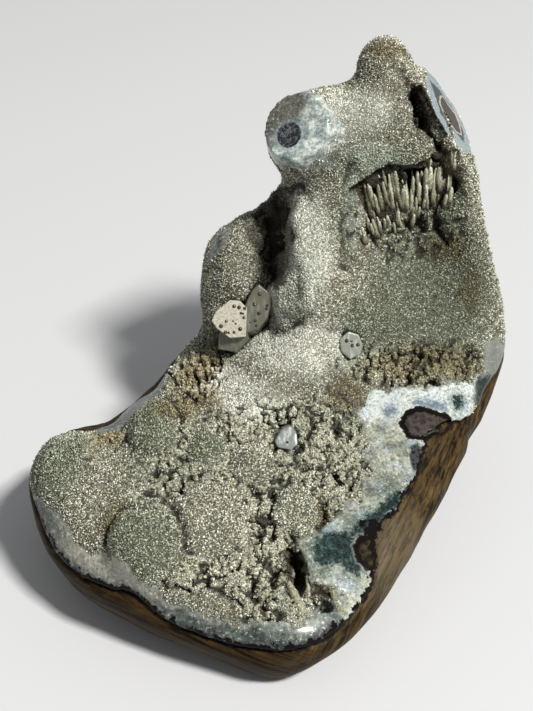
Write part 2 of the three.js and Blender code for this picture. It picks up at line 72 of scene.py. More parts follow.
# One lamp from the upper right in front, in the face's frame, and a soft grey room.
KEY_LAMP = {
    "towards": (0.46, 0.42, 0.79), "distance": 2.5, "size": 0.36, "power": 112, "colour": (1, 0.99, 0.97),
}
ROOM_COLOUR = (0.96, 0.98, 1, 1)
ROOM_STRENGTH = 0.38
FLOOR_GREY = (0.48, 0.48, 0.48)
FLOOR_REACH = 4

# Fineness of the surfaces. Faces are split in four where the druse is coarser than COARSE_FROM.
CRUST_VOXEL = 0.74 * MM
BASALT_VOXEL = 0.8 * MM
SMOOTHING_PASSES = 26
CRUST_EDGE_PASSES = 44
BASALT_EDGE_PASSES = 40
GROOVE_PASSES = 16
COARSE_FROM = 0.46

# Relief in millimetres: each swell's height, size and seed, and the heights of the coarse druse.
CRUST_SWELLS = [(0.5, 9, 61), (0.26, 2.4, 67)]
BASALT_SWELLS = [(0.9, 16, 71), (0.5, 3.5, 73)]
LUMP_HEIGHT = 1.8
FINE_LUMP_HEIGHT = 1.0
CREVICE_DEPTH = 1.8
CLEFT_DEPTH = 2.4
FINE_DRUSE_HEIGHT = 0.28

# Strokes deeper than this, in millimetres, are darkened inside with painted shade.
DARK_BELOW = -1.55

# Small things: how many there are, and their least and greatest radius in millimetres.
KNOBS = {"count": 4000, "sizes": (0.16, 0.42)}
DRUSE_GRAINS = {"count": 46000, "sizes": (0.12, 0.31)}
KNOB_GRAINS = {"count": 12000, "sizes": (0.1, 0.22)}
COLUMN_GRAINS = {"count": 7000, "sizes": (0.08, 0.18)}
BEAD_SIZES = (0.3, 0.56)

# Rows of columns in the recess, from its edge down: the pitch, length and radius of each.
COLUMN_ROWS = [
    (1.45, 7.6, 0.55), (1.45, 6.4, 0.55), (1.4, 5.4, 0.5), (1.35, 4.4, 0.46), (1.3, 3.4, 0.44),
    (1.3, 2.4, 0.44),
]
COLUMN_SPAN = (23.6, 47.6)
ROW_STEP = 2.2

# How far the edges of the crystals are eased, in millimetres, and where the druse's three pieces meet.
CRYSTAL_EASE = 0.2
WORN_EASE = 0.4
DRUSE_SPLITS = (-10, 30)

# The upper edge of the recess, which the tips of its columns follow.
RECESS_EDGE = [
    (23, 39), (24.4, 41.4), (26.9, 43.2), (30.4, 44.4), (33.9, 44.7), (37.4, 45.7), (40.6, 47), (43, 49.5),
    (47, 50.5),
]

# Rounded knobs of the crust: u, v, radius and how far the fine surface lifts them further.
DOMES = [
    (-26.4, -41.0, 8.5, 0.9),
    (-12.3, -36.2, 8.0, 0.7),
    (-27, -16.8, 6.5, 0.8),
    (-49, -24.8, 6.5, 0.4),
    (-35.5, -30, 8.0, 0.5),
    (-14.2, -21.3, 4.6, 0.8),
    (-3.4, -24.8, 5.2, 0.8),
    (7, -35, 5.2, 0.9),
]

# Strokes over the face: the places along each, half its width, and its height or, below 0, depth.
STROKES = [
    ([(-2.6, 34), (-2.4, 28), (-1, 22), (0.4, 16)], 3.6, 1.4),
    ([(8.5, 38), (8.6, 27), (9, 18), (10, 12)], 2.4, 0.9),
    ([(2, 40), (3, 33), (3.2, 27)], 2.2, -1.6),
    ([(2, 9.8), (6, 9.4), (9, 8.4), (14, 7.6), (19, 6)], 2.6, -0.5),
    ([(-36, -42), (-35.4, -38), (-32, -34.4), (-27, -32.6), (-22, -33.4), (-18.4, -37), (-17.6, -42)],
     1.1, -1.0),
    ([(-33.5, -14), (-29, -10.4), (-23.5, -11.2), (-20, -15), (-19.8, -19)], 1.0, -0.7),
    ([(2, -32), (4.6, -29.4), (9, -29.4), (12.4, -32)], 1.0, -0.6),
    ([(13.3, -33), (12.8, -36), (12.3, -39.4)], 1.0, -2.4),
    ([(9, -50.6), (12, -51.6), (15.6, -52.2)], 1.7, -2.6),
    ([(2.5, 43), (5.5, 41.2), (8.5, 41.8)], 1.4, -0.8),
    ([(20, 45), (20.6, 38), (20.6, 30), (20, 22)], 3.6, -1.4),
    (RECESS_EDGE[:-1], 2.0, -3.0),
    ([(24, 42), (25.4, 35), (26.4, 30.4), (27.4, 27)], 0.9, -3.2),
    ([(42.4, 48), (43.6, 41.4), (42.6, 35.1), (46, 28.5)], 1.2, -2.2),
    ([(36, 33.6), (40, 33)], 1.6, -1.6),
    ([(35.4, 62), (36.8, 57), (39.6, 53.4), (42.5, 51.4)], 1.7, -3.0),
]

# Places, each as u, v, half its size each way and its turn in degrees: the groove to fill, the edges
# to keep, and where the druse is paler (in part painted light), mossier (in part painted shade) or browner.
GROOVE = (5.8, 14.6, 4.4, 7.5, -24)
KEEN_PLACES = [(36, 41, 16, 10, 0), (39.2, 58, 5, 8, 30), (7, -48, 6, 9, 0), (12, -54, 5, 3, 0)]
# Beside the groove and under the top's overhang the paler druse is painted light; on the ridge it is the
# druse's own whiter colour.
PALE_AND_LIT_PLACES = [
    (10, 26, 6, 14, 0), (8, 3, 14, 7, 0), (21, 59, 8, 6, 0), (-6, -9, 9, 5, -20), (22, 36, 2, 9, 0),
    (5.8, 14, 5, 8, -24), (26, 48.5, 7, 3, 0),
]
# On the right hollow face and under the top's overhang the mossier colour is painted shade; on the domes it
# is the druse's own greyer green.
MOSSY_AND_SHADED_PLACES = [
    (42, 15, 17, 20, 0), (26, 46.5, 11, 5, 0), (-27, -17, 6, 6, 0), (-27, -41, 8.5, 8, 0), (24, 8, 5, 7, 0),
    (46, 36, 5, 9, 0), (-49, -25, 7, 6, 0), (-14, -21, 4, 3, 0), (20.5, 35, 2.6, 12, 0), (-31, -47, 5, 6, 0),
]
BROWN_PLACES = [
    (29.5, 73, 5, 2.6, 0), (-17, -3, 8, 3.6, 45), (40, -2, 15, 4.4, 0), (20, -9, 5, 4, 0),
    (12.8, -36, 1.6, 5, 0), (-34, -36.5, 2.4, 4, -35), (52, 17, 3, 6, 0), (-20, -12, 9, 3, 20),
    (-38, -20.5, 4, 2, 0), (46, 28, 5, 4, 0),
]

# Outlines of the hollows darkened with painted shade. In the valley the dark is partly the druse's own brown
# and partly a painted shadow cast by the ridge.
VALLEY = [
    (2.6, 43.5), (-2, 38.6), (-5, 32.4), (-4.6, 27.6), (-2.4, 24), (0.6, 20.2), (2.8, 16.4), (4.3, 17.5),
    (5.3, 22.2), (6.7, 27), (6.2, 32), (5.8, 36.9), (5.2, 41.8),
]
RECESS = [
    (23, 38.5), (24.4, 42.4), (26.9, 44.2), (30.4, 45.4), (33.9, 45.7), (37.4, 46.7), (40.6, 48), (43, 50.5),
    (47, 51), (49, 46), (47, 41), (43, 38), (38, 37), (32, 36), (28, 32), (25.5, 30),
]
SLOT = [
    (34, 66.4), (35.5, 66.6), (37.7, 63.1), (39.6, 58.2), (41.3, 55.1), (44.4, 51), (42, 51.5), (38.9, 53.4),
    (36.5, 55.8), (35.2, 59), (34.5, 63.1),
]
HOLE = [
    (6.6, -40.9), (3.6, -44.2), (4, -47.8), (5.1, -50.7), (7.2, -52.8), (8.5, -52.4), (9, -49.6),
    (7.9, -46.3),
]

# Pillars at the front hole: the upper and lower end and the radius of each.
FRONT_PILLARS = [
    ((9.8, -48.8), (11.4, -54.4), 0.75), ((10.8, -49.4), (12.8, -55.4), 0.8),
    ((14.2, -50.8), (16, -55.8), 0.9), ((4.4, -48.6), (8, -55.4), 0.95), ((9, -48), (9.2, -53.6), 0.5),
]

# Where the druse stands in lumps with pits between them, but for the domes.
COARSE_PLACES = [
    (2, -40, 14, 20, 0), (0, -22, 22, 10, 10), (18, -26, 9, 12, 0), (-18, -4, 8, 7, 40),
    (37, -2.6, 17, 5.4, 0), (-14, -24, 14, 8, 0), (1, 33, 5, 8, 0), (-36, -21, 9, 3, 0),
    (36, 32, 14, 7, 0), (-13, -46, 13, 4, 0), (-20, -28, 8, 6, 0),
]

# Ground and polished places. The bevel's outline runs past the edge of the crust on its right. A flat
# has a point on it, the way it faces, the middle of its core and its reach.
BEVEL = [
    (21.5, -11.3), (23.3, -10.4), (27.1, -8.7), (32.9, -8.3), (41.4, -7.6), (47, -6.8), (52.2, -6.4),
    (51.8, -9.4), (51, -11.4), (51.8, -13.4), (52.6, -16), (48, -34), (34, -52), (22, -62), (15.4, -55.3),
    (17, -53.4), (13.9, -50.6), (11.2, -49.4), (8.6, -47.6), (7.4, -45), (7.2, -41.3), (11.5, -39.8),
    (15.3, -37.6), (17.9, -35.6), (22, -32.1), (24.4, -28.5), (23.9, -24.6), (23.2, -20.1), (22.5, -15.5),
]
EYE = {"point": (8.4, 52.8, 16), "faces": (-0.42, 0.12, 0.9), "core": (5.4, 52.4, 14.6), "reach": 10.5}
SLICE = {"point": (41.2, 58.7, 8), "faces": (0.8, 0.38, 0.46), "core": (45.2, 57.2, 2), "reach": 17}

# Outlines in the polished bevel: dark green jasper, bluer streaks, and basalt caught in it.
GREEN_PATCHES = [
    [(10.3, -42.7), (11.5, -40.6), (15, -39.5), (18.3, -40), (20.3, -41.6), (20.2, -43.8), (21.2, -46.6),
     (20.1, -48.8), (17.5, -47.7), (16.3, -45.9), (13.1, -46.4), (10.7, -45.3)],
    [(18.8, -40), (21.7, -37.2), (25.6, -34.5), (29.1, -32.1), (31.7, -31.3), (32.1, -32.8), (29.8, -35.1),
     (26.8, -37.5), (23.8, -39.9), (20.5, -41.8)],
    [(45.6, -11.5), (46.4, -9.9), (48, -9.6), (49.2, -11), (48.6, -13), (46.6, -13.3)],
]
BLUE_PATCHES = [
    [(28.4, -13.2), (31, -12.2), (32, -13.8), (29.4, -14.8)],
    [(35.5, -10.8), (39, -11), (43.5, -11.8), (44.5, -13.4), (41, -13.4), (37.5, -12.6)],
]
BASALT_PATCHES = [
    [(33, -16.5), (34.4, -14.2), (37.5, -13.1), (40.4, -14), (44.5, -15.2), (44.5, -18.5), (41, -20.6),
     (37.9, -19.8), (34.5, -19.3)],
    [(20, -43), (21.3, -41.1), (23.3, -40.9), (25.1, -41.8), (27.5, -44), (26.5, -46.8), (22.9, -47.1),
     (21, -45.5)],
]
DOTTED_PIT = [
    [(34.7, -21.6), (36, -21), (37.3, -22.6), (37.3, -25.3), (36.2, -27.4), (34.6, -27), (34, -24.5)],
]
DARK_RIM = [[(52.8, -5.2), (57, -5.2), (62, -3.5), (62, -12), (54, -17), (52.2, -13), (52.4, -9)]]
CLEAR_LENS = [[(55.6, 3.4), (58.7, 4.5), (62, 1), (62, -3.5), (57.3, -5), (54.6, -2.4)]]

# Outlines on the slice, from its rim inwards.
SLICE_RIM = [
    [(40.1, 71), (39.1, 66.4), (40.1, 62), (41.5, 58.5), (43.8, 54.8), (47, 52), (49.5, 50.5), (53, 52),
     (53, 60), (50, 68), (45, 72)],
]
SLICE_DARK = [
    [(40.7, 68.4), (42, 63.8), (42.9, 59.4), (45.5, 57), (48, 55.3), (49.8, 53.6), (50.2, 56.8),
     (48.9, 60.1), (47.3, 63.1), (45, 65.5), (43.2, 67.4)],
]
SLICE_HOLLOW = [
    [(43.9, 65), (44.6, 65.3), (46, 63.5), (48.1, 61.6), (49, 59), (49.2, 56), (47.5, 56.2), (45.5, 58.4),
     (43.9, 61), (43.2, 63.1)],
]

# What the materials read at each point of the crust.
PLACES_NOTED = {"pale_and_lit": PALE_AND_LIT_PLACES, "mossy_and_shaded": MOSSY_AND_SHADED_PLACES, "brown": BROWN_PLACES}
OUTLINES_NOTED = {
    "bevel": [BEVEL], "green": GREEN_PATCHES, "blue": BLUE_PATCHES, "inclusion": BASALT_PATCHES,
    "dotted": DOTTED_PIT, "dark_rim": DARK_RIM, "lens": CLEAR_LENS, "slice_dark": SLICE_DARK,
    "slice_hollow": SLICE_HOLLOW,
}
CARRIED_NOTES = ("cavity", "dark", "pale_and_lit", "mossy_and_shaded", "brown")


# The face's frame
def to_face(points):
    """Places in metres in the model's frame, as u, v and w in millimetres."""
    return (np.asarray(points) / MM - KNEE) @ FACE_AXES


def from_face(points):
    """Places in u, v and w, as metres in the model's frame."""
    return (np.asarray(points, float) @ FACE_AXES.T + KNEE) * MM


def direction_from_face(vector):
    turned = np.asarray(vector, float) @ FACE_AXES.T
    return turned / np.linalg.norm(turned)


def smoothstep(low, high, x):
    share = np.clip((x - low) / (high - low), 0, 1)
    return share * share * (3 - 2 * share)


# Noise on points in millimetres
def lattice(cells, seed):
    """A repeatable value from 0 to 1 for each cell of a grid."""
    x, y, z = (cells[:, k].astype(np.uint32) for k in range(3))
    n = x * np.uint32(73856093) ^ y * np.uint32(19349663) ^ z * np.uint32(83492791)
    n ^= np.uint32(seed * 2654435761 % 2**32)
    for shift, factor in ((15, 2246822519), (13, 3266489917)):
        n ^= n >> np.uint32(shift)
        n *= np.uint32(factor)
    n ^= n >> np.uint32(16)
    return n.astype(float) / 2**32


def noise(points, size, seed):
    """Smooth noise from -1 to 1, with bumps of the given size."""
    grid = points / size
    cell = np.floor(grid).astype(np.int64)
    part = grid - cell
    part = part * part * (3 - 2 * part)
    total = np.zeros(len(points))
    for corner in np.ndindex(2, 2, 2):
        share = np.prod(np.where(corner, part, 1 - part), axis=1)
        total += share * lattice(cell + corner, seed)
    return 2 * total - 1


def layered_noise(points, size, seed, layers=3):
    """Smooth noise with finer and fainter bumps on it."""
    total = sum(noise(points, size / 2**k, seed + k) / 2**k for k in range(layers))
    return total / (2 - 0.5 ** (layers - 1))


def swells(points, layers):
    return sum(height * layered_noise(points, size, seed) for height, size, seed in layers)


def shifted(points, reach, size, seed):
    """The points moved about by up to reach, in swells of the given size."""
    return points + reach * np.stack([noise(points, size, seed + k) for k in range(3)], axis=1)


def cells(points, size, seed):
    """Distance to the nearest of scattered middles, as a share of their spacing."""
    grid = points / size
    cell = np.floor(grid).astype(np.int64)
    nearest = np.full(len(points), np.inf)
    for offset in np.ndindex(3, 3, 3):
        other = cell + np.array(offset) - 1
        middle = other + np.stack([lattice(other, seed + k) for k in range(3)], axis=1)
        nearest = np.minimum(nearest, np.linalg.norm(grid - middle, axis=1))
    return nearest


# Shapes on the face
def place_share(face, place_list, soft=0.45):
    """1 in the middle of the places, fading to 0 around them."""
    share = np.zeros(len(face))
    for u, v, across, up, turn in place_list:
        a = math.radians(turn)
        du, dv = face[:, 0] - u, face[:, 1] - v
        x = (du * math.cos(a) + dv * math.sin(a)) / across
        y = (-du * math.sin(a) + dv * math.cos(a)) / up
        share = np.maximum(share, 1 - smoothstep(1 - soft, 1 + soft, np.hypot(x, y)))
    return share


def path_distance(face, path):
    """Millimetres from a path of straight stretches over the face."""
    nearest = np.full(len(face), np.inf)
    u, v = face[:, 0], face[:, 1]
    for (au, av), (bu, bv) in zip(path, path[1:]):
        eu, ev = bu - au, bv - av
        share = np.clip(((u - au) * eu + (v - av) * ev) / (eu * eu + ev * ev), 0, 1)
        nearest = np.minimum(nearest, np.hypot(u - au - eu * share, v - av - ev * share))
    return nearest


def outline_distance(face, outlines):
    """Millimetres from the nearest of some closed outlines, negative inside one."""
    nearest = np.full(len(face), np.inf)
    u, v = face[:, 0], face[:, 1]
    for outline in outlines:
        closed = outline + outline[:1]
        inside = np.zeros(len(face), bool)
        for (au, av), (bu, bv) in zip(closed, closed[1:]):
            if av != bv:
                inside ^= ((av > v) != (bv > v)) & (u < (bu - au) * (v - av) / (bv - av) + au)
        away = path_distance(face, closed)
        nearest = np.minimum(nearest, np.where(inside, -away, away))
    return nearest


# Meshes
def vectors(mesh, kind):
    found = np.empty(len(mesh.vertices) * 3, np.float32)
    mesh.vertices.foreach_get(kind, found)
    return found.reshape(-1, 3).astype(float)


def places(mesh):
    return vectors(mesh, "co")


def normals(mesh):
    return vectors(mesh, "normal")


def put(mesh, points):
    """Sets the vertices' places, none of them outside the box of the solids."""
    mesh.vertices.foreach_set("co", np.clip(points, *cad_box).astype(np.float32).ravel())
    mesh.update()


def note(mesh, name, values):
    attribute = mesh.attributes.get(name) or mesh.attributes.new(name, "FLOAT", "POINT")
    attribute.data.foreach_set("value", np.asarray(values, np.float32))


def noted(mesh, name):
    found = np.empty(len(mesh.vertices), np.float32)
    mesh.attributes[name].data.foreach_get("value", found)
    return found


def placed(name, data):
    """A new object in the scene."""
    made = bpy.data.objects.new(name, data)
    bpy.context.scene.collection.objects.link(made)
    return made


def make_object(name, mesh, material):
    piece = placed(name, mesh)
    mesh.materials.clear()
    mesh.materials.append(material)
    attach(piece, "root")
    return piece


def merged_copy(node):
    """A CAD node's form with its loose triangles joined."""
    form = bmesh.new()
    form.from_mesh(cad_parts[node].data)
    bmesh.ops.remove_doubles(form, verts=form.verts, dist=0.001 * MM)
    return form


def surface_tree(node):
    form = merged_copy(node)
    tree = BVHTree.FromBMesh(form)
    form.free()
    return tree


def faces_tree(mesh, faces):
    return BVHTree.FromPolygons(list(map(Vector, places(mesh))), [tuple(f.vertices) for f in faces])


def remeshed(node, name, voxel):
    """A CAD node's form in even small faces, as a new mesh."""
    form = merged_copy(node)
    rough = bpy.data.meshes.new(name + "_rough")
    form.to_mesh(rough)
    form.free()
    holder = placed(name + "_rough", rough)
    remesh = holder.modifiers.new("even", "REMESH")
    remesh.mode = "VOXEL"
    remesh.voxel_size = voxel
    evaluated = holder.evaluated_get(bpy.context.evaluated_depsgraph_get())
    mesh = bpy.data.meshes.new_from_object(evaluated)
    mesh.name = name
    bpy.data.objects.remove(holder)
    bpy.data.meshes.remove(rough)
    return mesh


def evened(mesh, values, passes, hold):
    """Values at the vertices after averaging with their neighbours; hold is 1 where one stays."""
    edges = np.empty(len(mesh.edges) * 2, np.int32)
    mesh.edges.foreach_get("vertices", edges)
    ends = np.concatenate([edges, edges.reshape(-1, 2)[:, ::-1].ravel()]).reshape(-1, 2)
    count = np.bincount(ends[:, 0], minlength=len(values))[:, None]
    move = 0.5 * (1 - hold)[:, None]
    values = values.copy()
    for _ in range(passes):
        around = [np.bincount(ends[:, 0], row[ends[:, 1]], len(values)) for row in values.T]
        values += move * (np.stack(around, axis=1) / count - values)
    return values


def smooth(mesh, passes, hold):
    """Takes the facets out of the surface, and gives back the size that evening it out costs."""
    points = places(mesh)
    first = evened(mesh, points, passes, hold)
    put(mesh, first + evened(mesh, points - first, passes, hold))


def cavity(mesh):
    """How deep each point lies below its surroundings: positive in pits and below 0 on bumps."""
    points, loose = places(mesh), np.zeros(len(mesh.vertices))
    out = normals(mesh)
    close = evened(mesh, points, 3, loose)
    wide = evened(mesh, close, 14, loose)
    return (((close - points) * 1.6 + (wide - close)) * out).sum(axis=1) / MM


def distance_to(tree, points):
    """How far each point is from another piece, in millimetres."""
    return np.array([tree.find_nearest(p)[3] for p in map(Vector, points)]) / MM


def height_over(face, flat):
    """How far places lie above a ground flat's plane, and the way that it faces."""
    turned = np.array(flat["faces"]) / np.linalg.norm(flat["faces"])
    return (face - flat["point"]) @ turned, turned


def flatten(points, face, flat):
    """Puts the points of a ground flat back on its plane."""
    off, turned = height_over(face, flat)
    near = (np.abs(off) < 1.2) & (np.linalg.norm(face - flat["point"], axis=1) < flat["reach"])
    points[near] -= np.outer(off[near] * MM, turned @ FACE_AXES.T)
    return points


def filled(points, face, facing):
    """Lifts the bottom of the groove beside the ridge up to a gentle slope."""
    share = place_share(face, [GROOVE], 0.3) * smoothstep(-0.1, 0.15, facing)
    level = np.interp(face[:, 1], (8, 12, 17, 21), (6.2, 7.4, 10.1, 10.8)) + 0.45 * (face[:, 0] - 8.7)
    lift = share * np.clip(level - face[:, 2], 0, None)
    return points + np.outer(lift * MM, FACE_AXES[:, 2])


def polish_distance(face, contact, facing):
    """Millimetres outside the nearest ground and polished place, negative in it."""
    u, v = face[:, 0], face[:, 1]
    ragged = 1.6 * noise(face, 3, 41) + 0.8 * noise(face, 1.2, 42)
    # The rim's band is wider at the front and the lower left, and narrow at the upper left and at the
    # right of the front.
    band = 4 + 5 * np.exp(-(((u + 32) / 7) ** 2)) + 2.2 * smoothstep(-48, -58, v)
    band += 4.4 * smoothstep(-36, -46, u) * smoothstep(-32, -40, v)
    band *= 1 - 0.8 * smoothstep(-38, -46, u) * smoothstep(-36, -26, v)
    band *= 1 - 0.75 * np.exp(-(((u - 26) / 5) ** 2) - ((v + 56) / 6) ** 2)
    # It runs round the seat and up the lowest part of the right side. Right of the front hole the
    # bevel's outline takes its place.
    low = np.clip(smoothstep(2, -12, v) + 0.9 * smoothstep(48, 54, u) * (v < 12), 0, 1)
    rim = contact - (band - ragged) * low + 3 * (1 - low)
    rim += 8 * smoothstep(3, 7, u) * smoothstep(-52, -48, v) * smoothstep(-7, -9, v)
    bevel = 0.6 * (outline_distance(face, [BEVEL]) + 1.3 * ragged + 0.8)
    lens = outline_distance(face, DARK_RIM + CLEAR_LENS) + 0.4 * ragged
    # The flank, where the crust faces away: less of it at the top, and none in the middle of the back.
    flank = 8 * (facing + 0.05) + 2 * (v > 44) + 20 * ((u > -8) & (u < 46) & (v > 8))
    fade = 1 - 0.72 * smoothstep(8, 13, u) * smoothstep(60, 52, v)
    eye = fade * (np.linalg.norm(face - (7.2, 54.2, 12.6), axis=1) - 9.4 + 0.9 * ragged)
    off, _ = height_over(face, SLICE)
    cut = np.maximum(3 * (np.abs(off) - 0.35), 2 * outline_distance(face, SLICE_RIM) + 0.2 * ragged)
    # A small worn streak on the lobe.
    along = 0.6 * (u + 12.2) + 0.8 * (v - 28.8)
    across = 0.8 * (u + 12.2) - 0.6 * (v - 28.8)
    lobe = 1.6 * (np.hypot(along / 4.2, across / 1.5) - 1) + 0.4 * ragged
    return np.minimum.reduce([rim, bevel, lens, flank, eye, cut, lobe])


def painted_shade_share(face, warped):
    """1 where painted shade darkens the hollows, slits and deepest strokes, fading to 0 around them; in the
    valley it is partly the druse's own brown.
    """
    ragged = 1.1 * noise(face, 2.4, 91) + 0.6 * noise(face, 1.0, 92)
    share = 0.8 * smoothstep(1.0, -0.9, outline_distance(face, [VALLEY]) + ragged)
    share = np.maximum(share, smoothstep(1.0, -0.9, outline_distance(face, [SLOT, HOLE, RECESS]) + ragged))
    for path, reach, height in STROKES:
        if height < DARK_BELOW:
            away = path_distance(warped, path) / reach
            share = np.maximum(share, smoothstep(1.2, 0.3, away + 0.3 * ragged))
    return share


def winding(points, size, width, seed):
    """1 along winding lines of about the given spacing, fading to 0 beside them."""
    return smoothstep(width, 0.25 * width, np.abs(noise(points, size, seed)))


def coarse_share(face, warped, smooth_places):
    """1 where the druse stands in lumps with holes between them; none on the domes and less at the top."""
    share = place_share(warped + 1.6 * noise(face, 7, 25)[:, None], COARSE_PLACES, 0.4)
    for u, v, radius, _ in DOMES:
        share *= smoothstep(0.9, 1.15, np.hypot(warped[:, 0] - u, warped[:, 1] - v) / radius)
    return share * (1 - smooth_places) * (1 - 0.55 * smoothstep(4, 14, face[:, 1]))


def refined(mesh, chosen):
    """Splits the faces at the chosen vertices in four."""
    form = bmesh.new()
    form.from_mesh(mesh)
    form.edges.ensure_lookup_table()
    edges = [e for e in form.edges if chosen[e.verts[0].index] or chosen[e.verts[1].index]]
    bmesh.ops.subdivide_edges(form, edges=edges, cuts=1, use_grid_fill=True)
    form.to_mesh(mesh)
    form.free()
    mesh.update()


def warp(face):
    """The face's places moved about a little, so that shapes on it get natural edges."""
    return shifted(face, 1.1, 4, 21)


def exposed(mesh, tree):
    """The part of a mesh that stands clear of another piece, as a tree to measure from."""
    clear = distance_to(tree, places(mesh)) > 0.7
    return faces_tree(mesh, [f for f in mesh.polygons if clear[list(f.vertices)].all()])


def edge_share(points, away):
    """1 along the polished edge between crust and basalt, by how far away the other one is."""
    return smoothstep(4.5, 2.0, away) * smoothstep(7, 3, outline_distance(to_face(points), [BEVEL]))


def build_crust(basalt_mesh):
    """The jasper crust, with a note at each point of what it is made of there."""
    mesh = remeshed("jasper_crust", "crust", CRUST_VOXEL)
    smooth(mesh, SMOOTHING_PASSES, 0.8 * place_share(to_face(places(mesh)), KEEN_PLACES, 0.2))
    basalt_tree = surface_tree("basalt_matrix")
    exposed_tree = exposed(basalt_mesh, surface_tree("jasper_crust"))
    points = places(mesh)
    frayed = edge_share(points, distance_to(exposed_tree, points))
    points = evened(mesh, points, CRUST_EDGE_PASSES, 1 - frayed)
    put(mesh, points)
    points += normals(mesh) * (0.4 * frayed)[:, None] * MM
    for flat in (EYE, SLICE):
        points = flatten(points, to_face(points), flat)
    points = filled(points, to_face(points), normals(mesh) @ FACE_AXES[:, 2])
    put(mesh, evened(mesh, points, GROOVE_PASSES, 1 - place_share(to_face(points), [GROOVE], 0.6)))

    def measured():
        """Where the surface is, how far it is from the basalt's skin, and how far out of a cut it lies."""
        points = places(mesh)
        face, out = to_face(points), normals(mesh)
        facing = out @ FACE_AXES[:, 2]
        contact = distance_to(exposed_tree, points) - 0.6
        return points, face, out, facing, contact, polish_distance(face, contact, facing)

    points, face, out, facing, contact, polish = measured()
    under = distance_to(basalt_tree, points)
    shown = (facing > 0) & (polish > -0.5) & (under > 1)
    refined(mesh, (coarse_share(face, warp(face), 0) > COARSE_FROM) & shown)
    points, face, out, facing, contact, polish = measured()
    rough = smoothstep(-0.2, 1.0, polish) * smoothstep(0.5, 1.5, distance_to(basalt_tree, points))
    warped = warp(face)
    relief = swells(face, CRUST_SWELLS)
    for u, v, radius, rise in DOMES:
        away = np.hypot(warped[:, 0] - u, warped[:, 1] - v) / radius
        relief += rise * np.clip(1 - away**2, 0, 1) ** 0.7
    for path, reach, height in STROKES:
        relief += height * (1 - smoothstep(0, reach, path_distance(warped, path))) * (facing > -0.2)
    coarse = coarse_share(face, warped, 1 - rough)
    spongy = shifted(face, 0.7, 1.7, 31)
    lumps = 0.62 - cells(spongy * (1, 0.8, 1), 2.0, 51)
    fine_lumps = 0.55 - cells(spongy, 1.0, 53)
    crevices = winding(spongy * (1, 0.75, 1), 1.6, 0.34, 57) * smoothstep(-0.5, 0.0, noise(face, 3.2, 58))
    clefts = winding(warped * (1, 0.7, 1), 3.4, 0.28, 59) * smoothstep(-0.3, 0.2, noise(face, 6, 60))
    up = LUMP_HEIGHT * lumps + FINE_LUMP_HEIGHT * fine_lumps
    relief += coarse * (up - CREVICE_DEPTH * crevices - CLEFT_DEPTH * clefts)
    relief += (1 - coarse) * FINE_DRUSE_HEIGHT * (0.6 - cells(face, 1.3, 54))
    put(mesh, points + out * (relief * rough)[:, None] * MM)

    # Crevices and clefts are darkened through the cavity note with painted shade, over the brown of the pits.
    gap_shade = coarse * np.maximum(crevices, clefts)
    note(mesh, "cavity", np.clip(0.29 + 1.25 * cavity(mesh) + 0.55 * gap_shade, 0, 1))
    note(mesh, "polish", polish)
    note(mesh, "contact", contact)
    note(mesh, "coarse", coarse)
    note(mesh, "dark", painted_shade_share(face, warped))
    for name, spots in PLACES_NOTED.items():
        note(mesh, name, place_share(warped, spots))
    for name, outlines in OUTLINES_NOTED.items():
        note(mesh, name, outline_distance(face, outlines))
    note(mesh, "facing", facing)
    mesh.shade_smooth()
    return mesh


def build_basalt():
    """The basalt, smooth where it is polished and worn elsewhere."""
    mesh = remeshed("basalt_matrix", "basalt", BASALT_VOXEL)
    crust_skin = surface_tree("jasper_crust")
    points = places(mesh)
    under = distance_to(crust_skin, points)
    base = 1 - smoothstep(0.4, 1.0, points[:, 2] / MM)
    smooth(mesh, SMOOTHING_PASSES, base)
    points = places(mesh)
    put(mesh, evened(mesh, points, BASALT_EDGE_PASSES, 1 - edge_share(points, under)))
    points = places(mesh)
    face = to_face(points)
    out = normals(mesh)
    behind = smoothstep(-0.2, 0.35, out[:, 1]) * smoothstep(0.5, 4, under) * (1 - base)
    put(mesh, points + out * (swells(face, BASALT_SWELLS) * behind)[:, None] * MM)
    note(mesh, "rough", behind)
    mesh.shade_smooth()
    return mesh


# Small things scattered on a surface
def scatter(mesh, count, chance, seed):
    """Random places on the surface where chance, given at each vertex, allows: vertex, place, normal."""
    random = np.random.default_rng(seed)
    mesh.calc_loop_triangles()
    corners = np.empty(len(mesh.loop_triangles) * 3, np.int32)
    mesh.loop_triangles.foreach_get("vertices", corners)
    corners = corners.reshape(-1, 3)
    points, out = places(mesh), normals(mesh)
    a, b, c = (points[corners[:, k]] for k in range(3))
    area = np.linalg.norm(np.cross(b - a, c - a), axis=1) / 2
    weight = area * chance[corners].mean(axis=1)
    chosen = random.choice(len(corners), count, p=weight / weight.sum())
    s, t = random.random((2, count))
    turned = s + t > 1
    s[turned], t[turned] = 1 - s[turned], 1 - t[turned]
    found = a[chosen] + s[:, None] * (b - a)[chosen] + t[:, None] * (c - a)[chosen]
    return corners[chosen, 0], found, out[corners[chosen, 0]]


def unit(directions):
    return directions / np.linalg.norm(directions, axis=1)[:, None]


def random_radii(sizes, count, power, random):
    """Radii from the least to the greatest of the sizes, more of them small the higher the power."""
    least, greatest = sizes
    return (least + (greatest - least) * random.random(count) ** power) * MM


def frames_along(directions, random):
    """For each direction, two more at right angles to it, turned at random about it."""
    spare = random.normal(size=directions.shape)
    side = unit(np.cross(directions, spare))
    return side, np.cross(directions, side)


def template(form):
    """A small form's vertices and faces, as arrays."""
    form.verts.ensure_lookup_table()
    vertices = np.array([v.co for v in form.verts])
    faces = [[v.index for v in f.verts] for f in form.faces]
    form.free()
    return vertices, faces


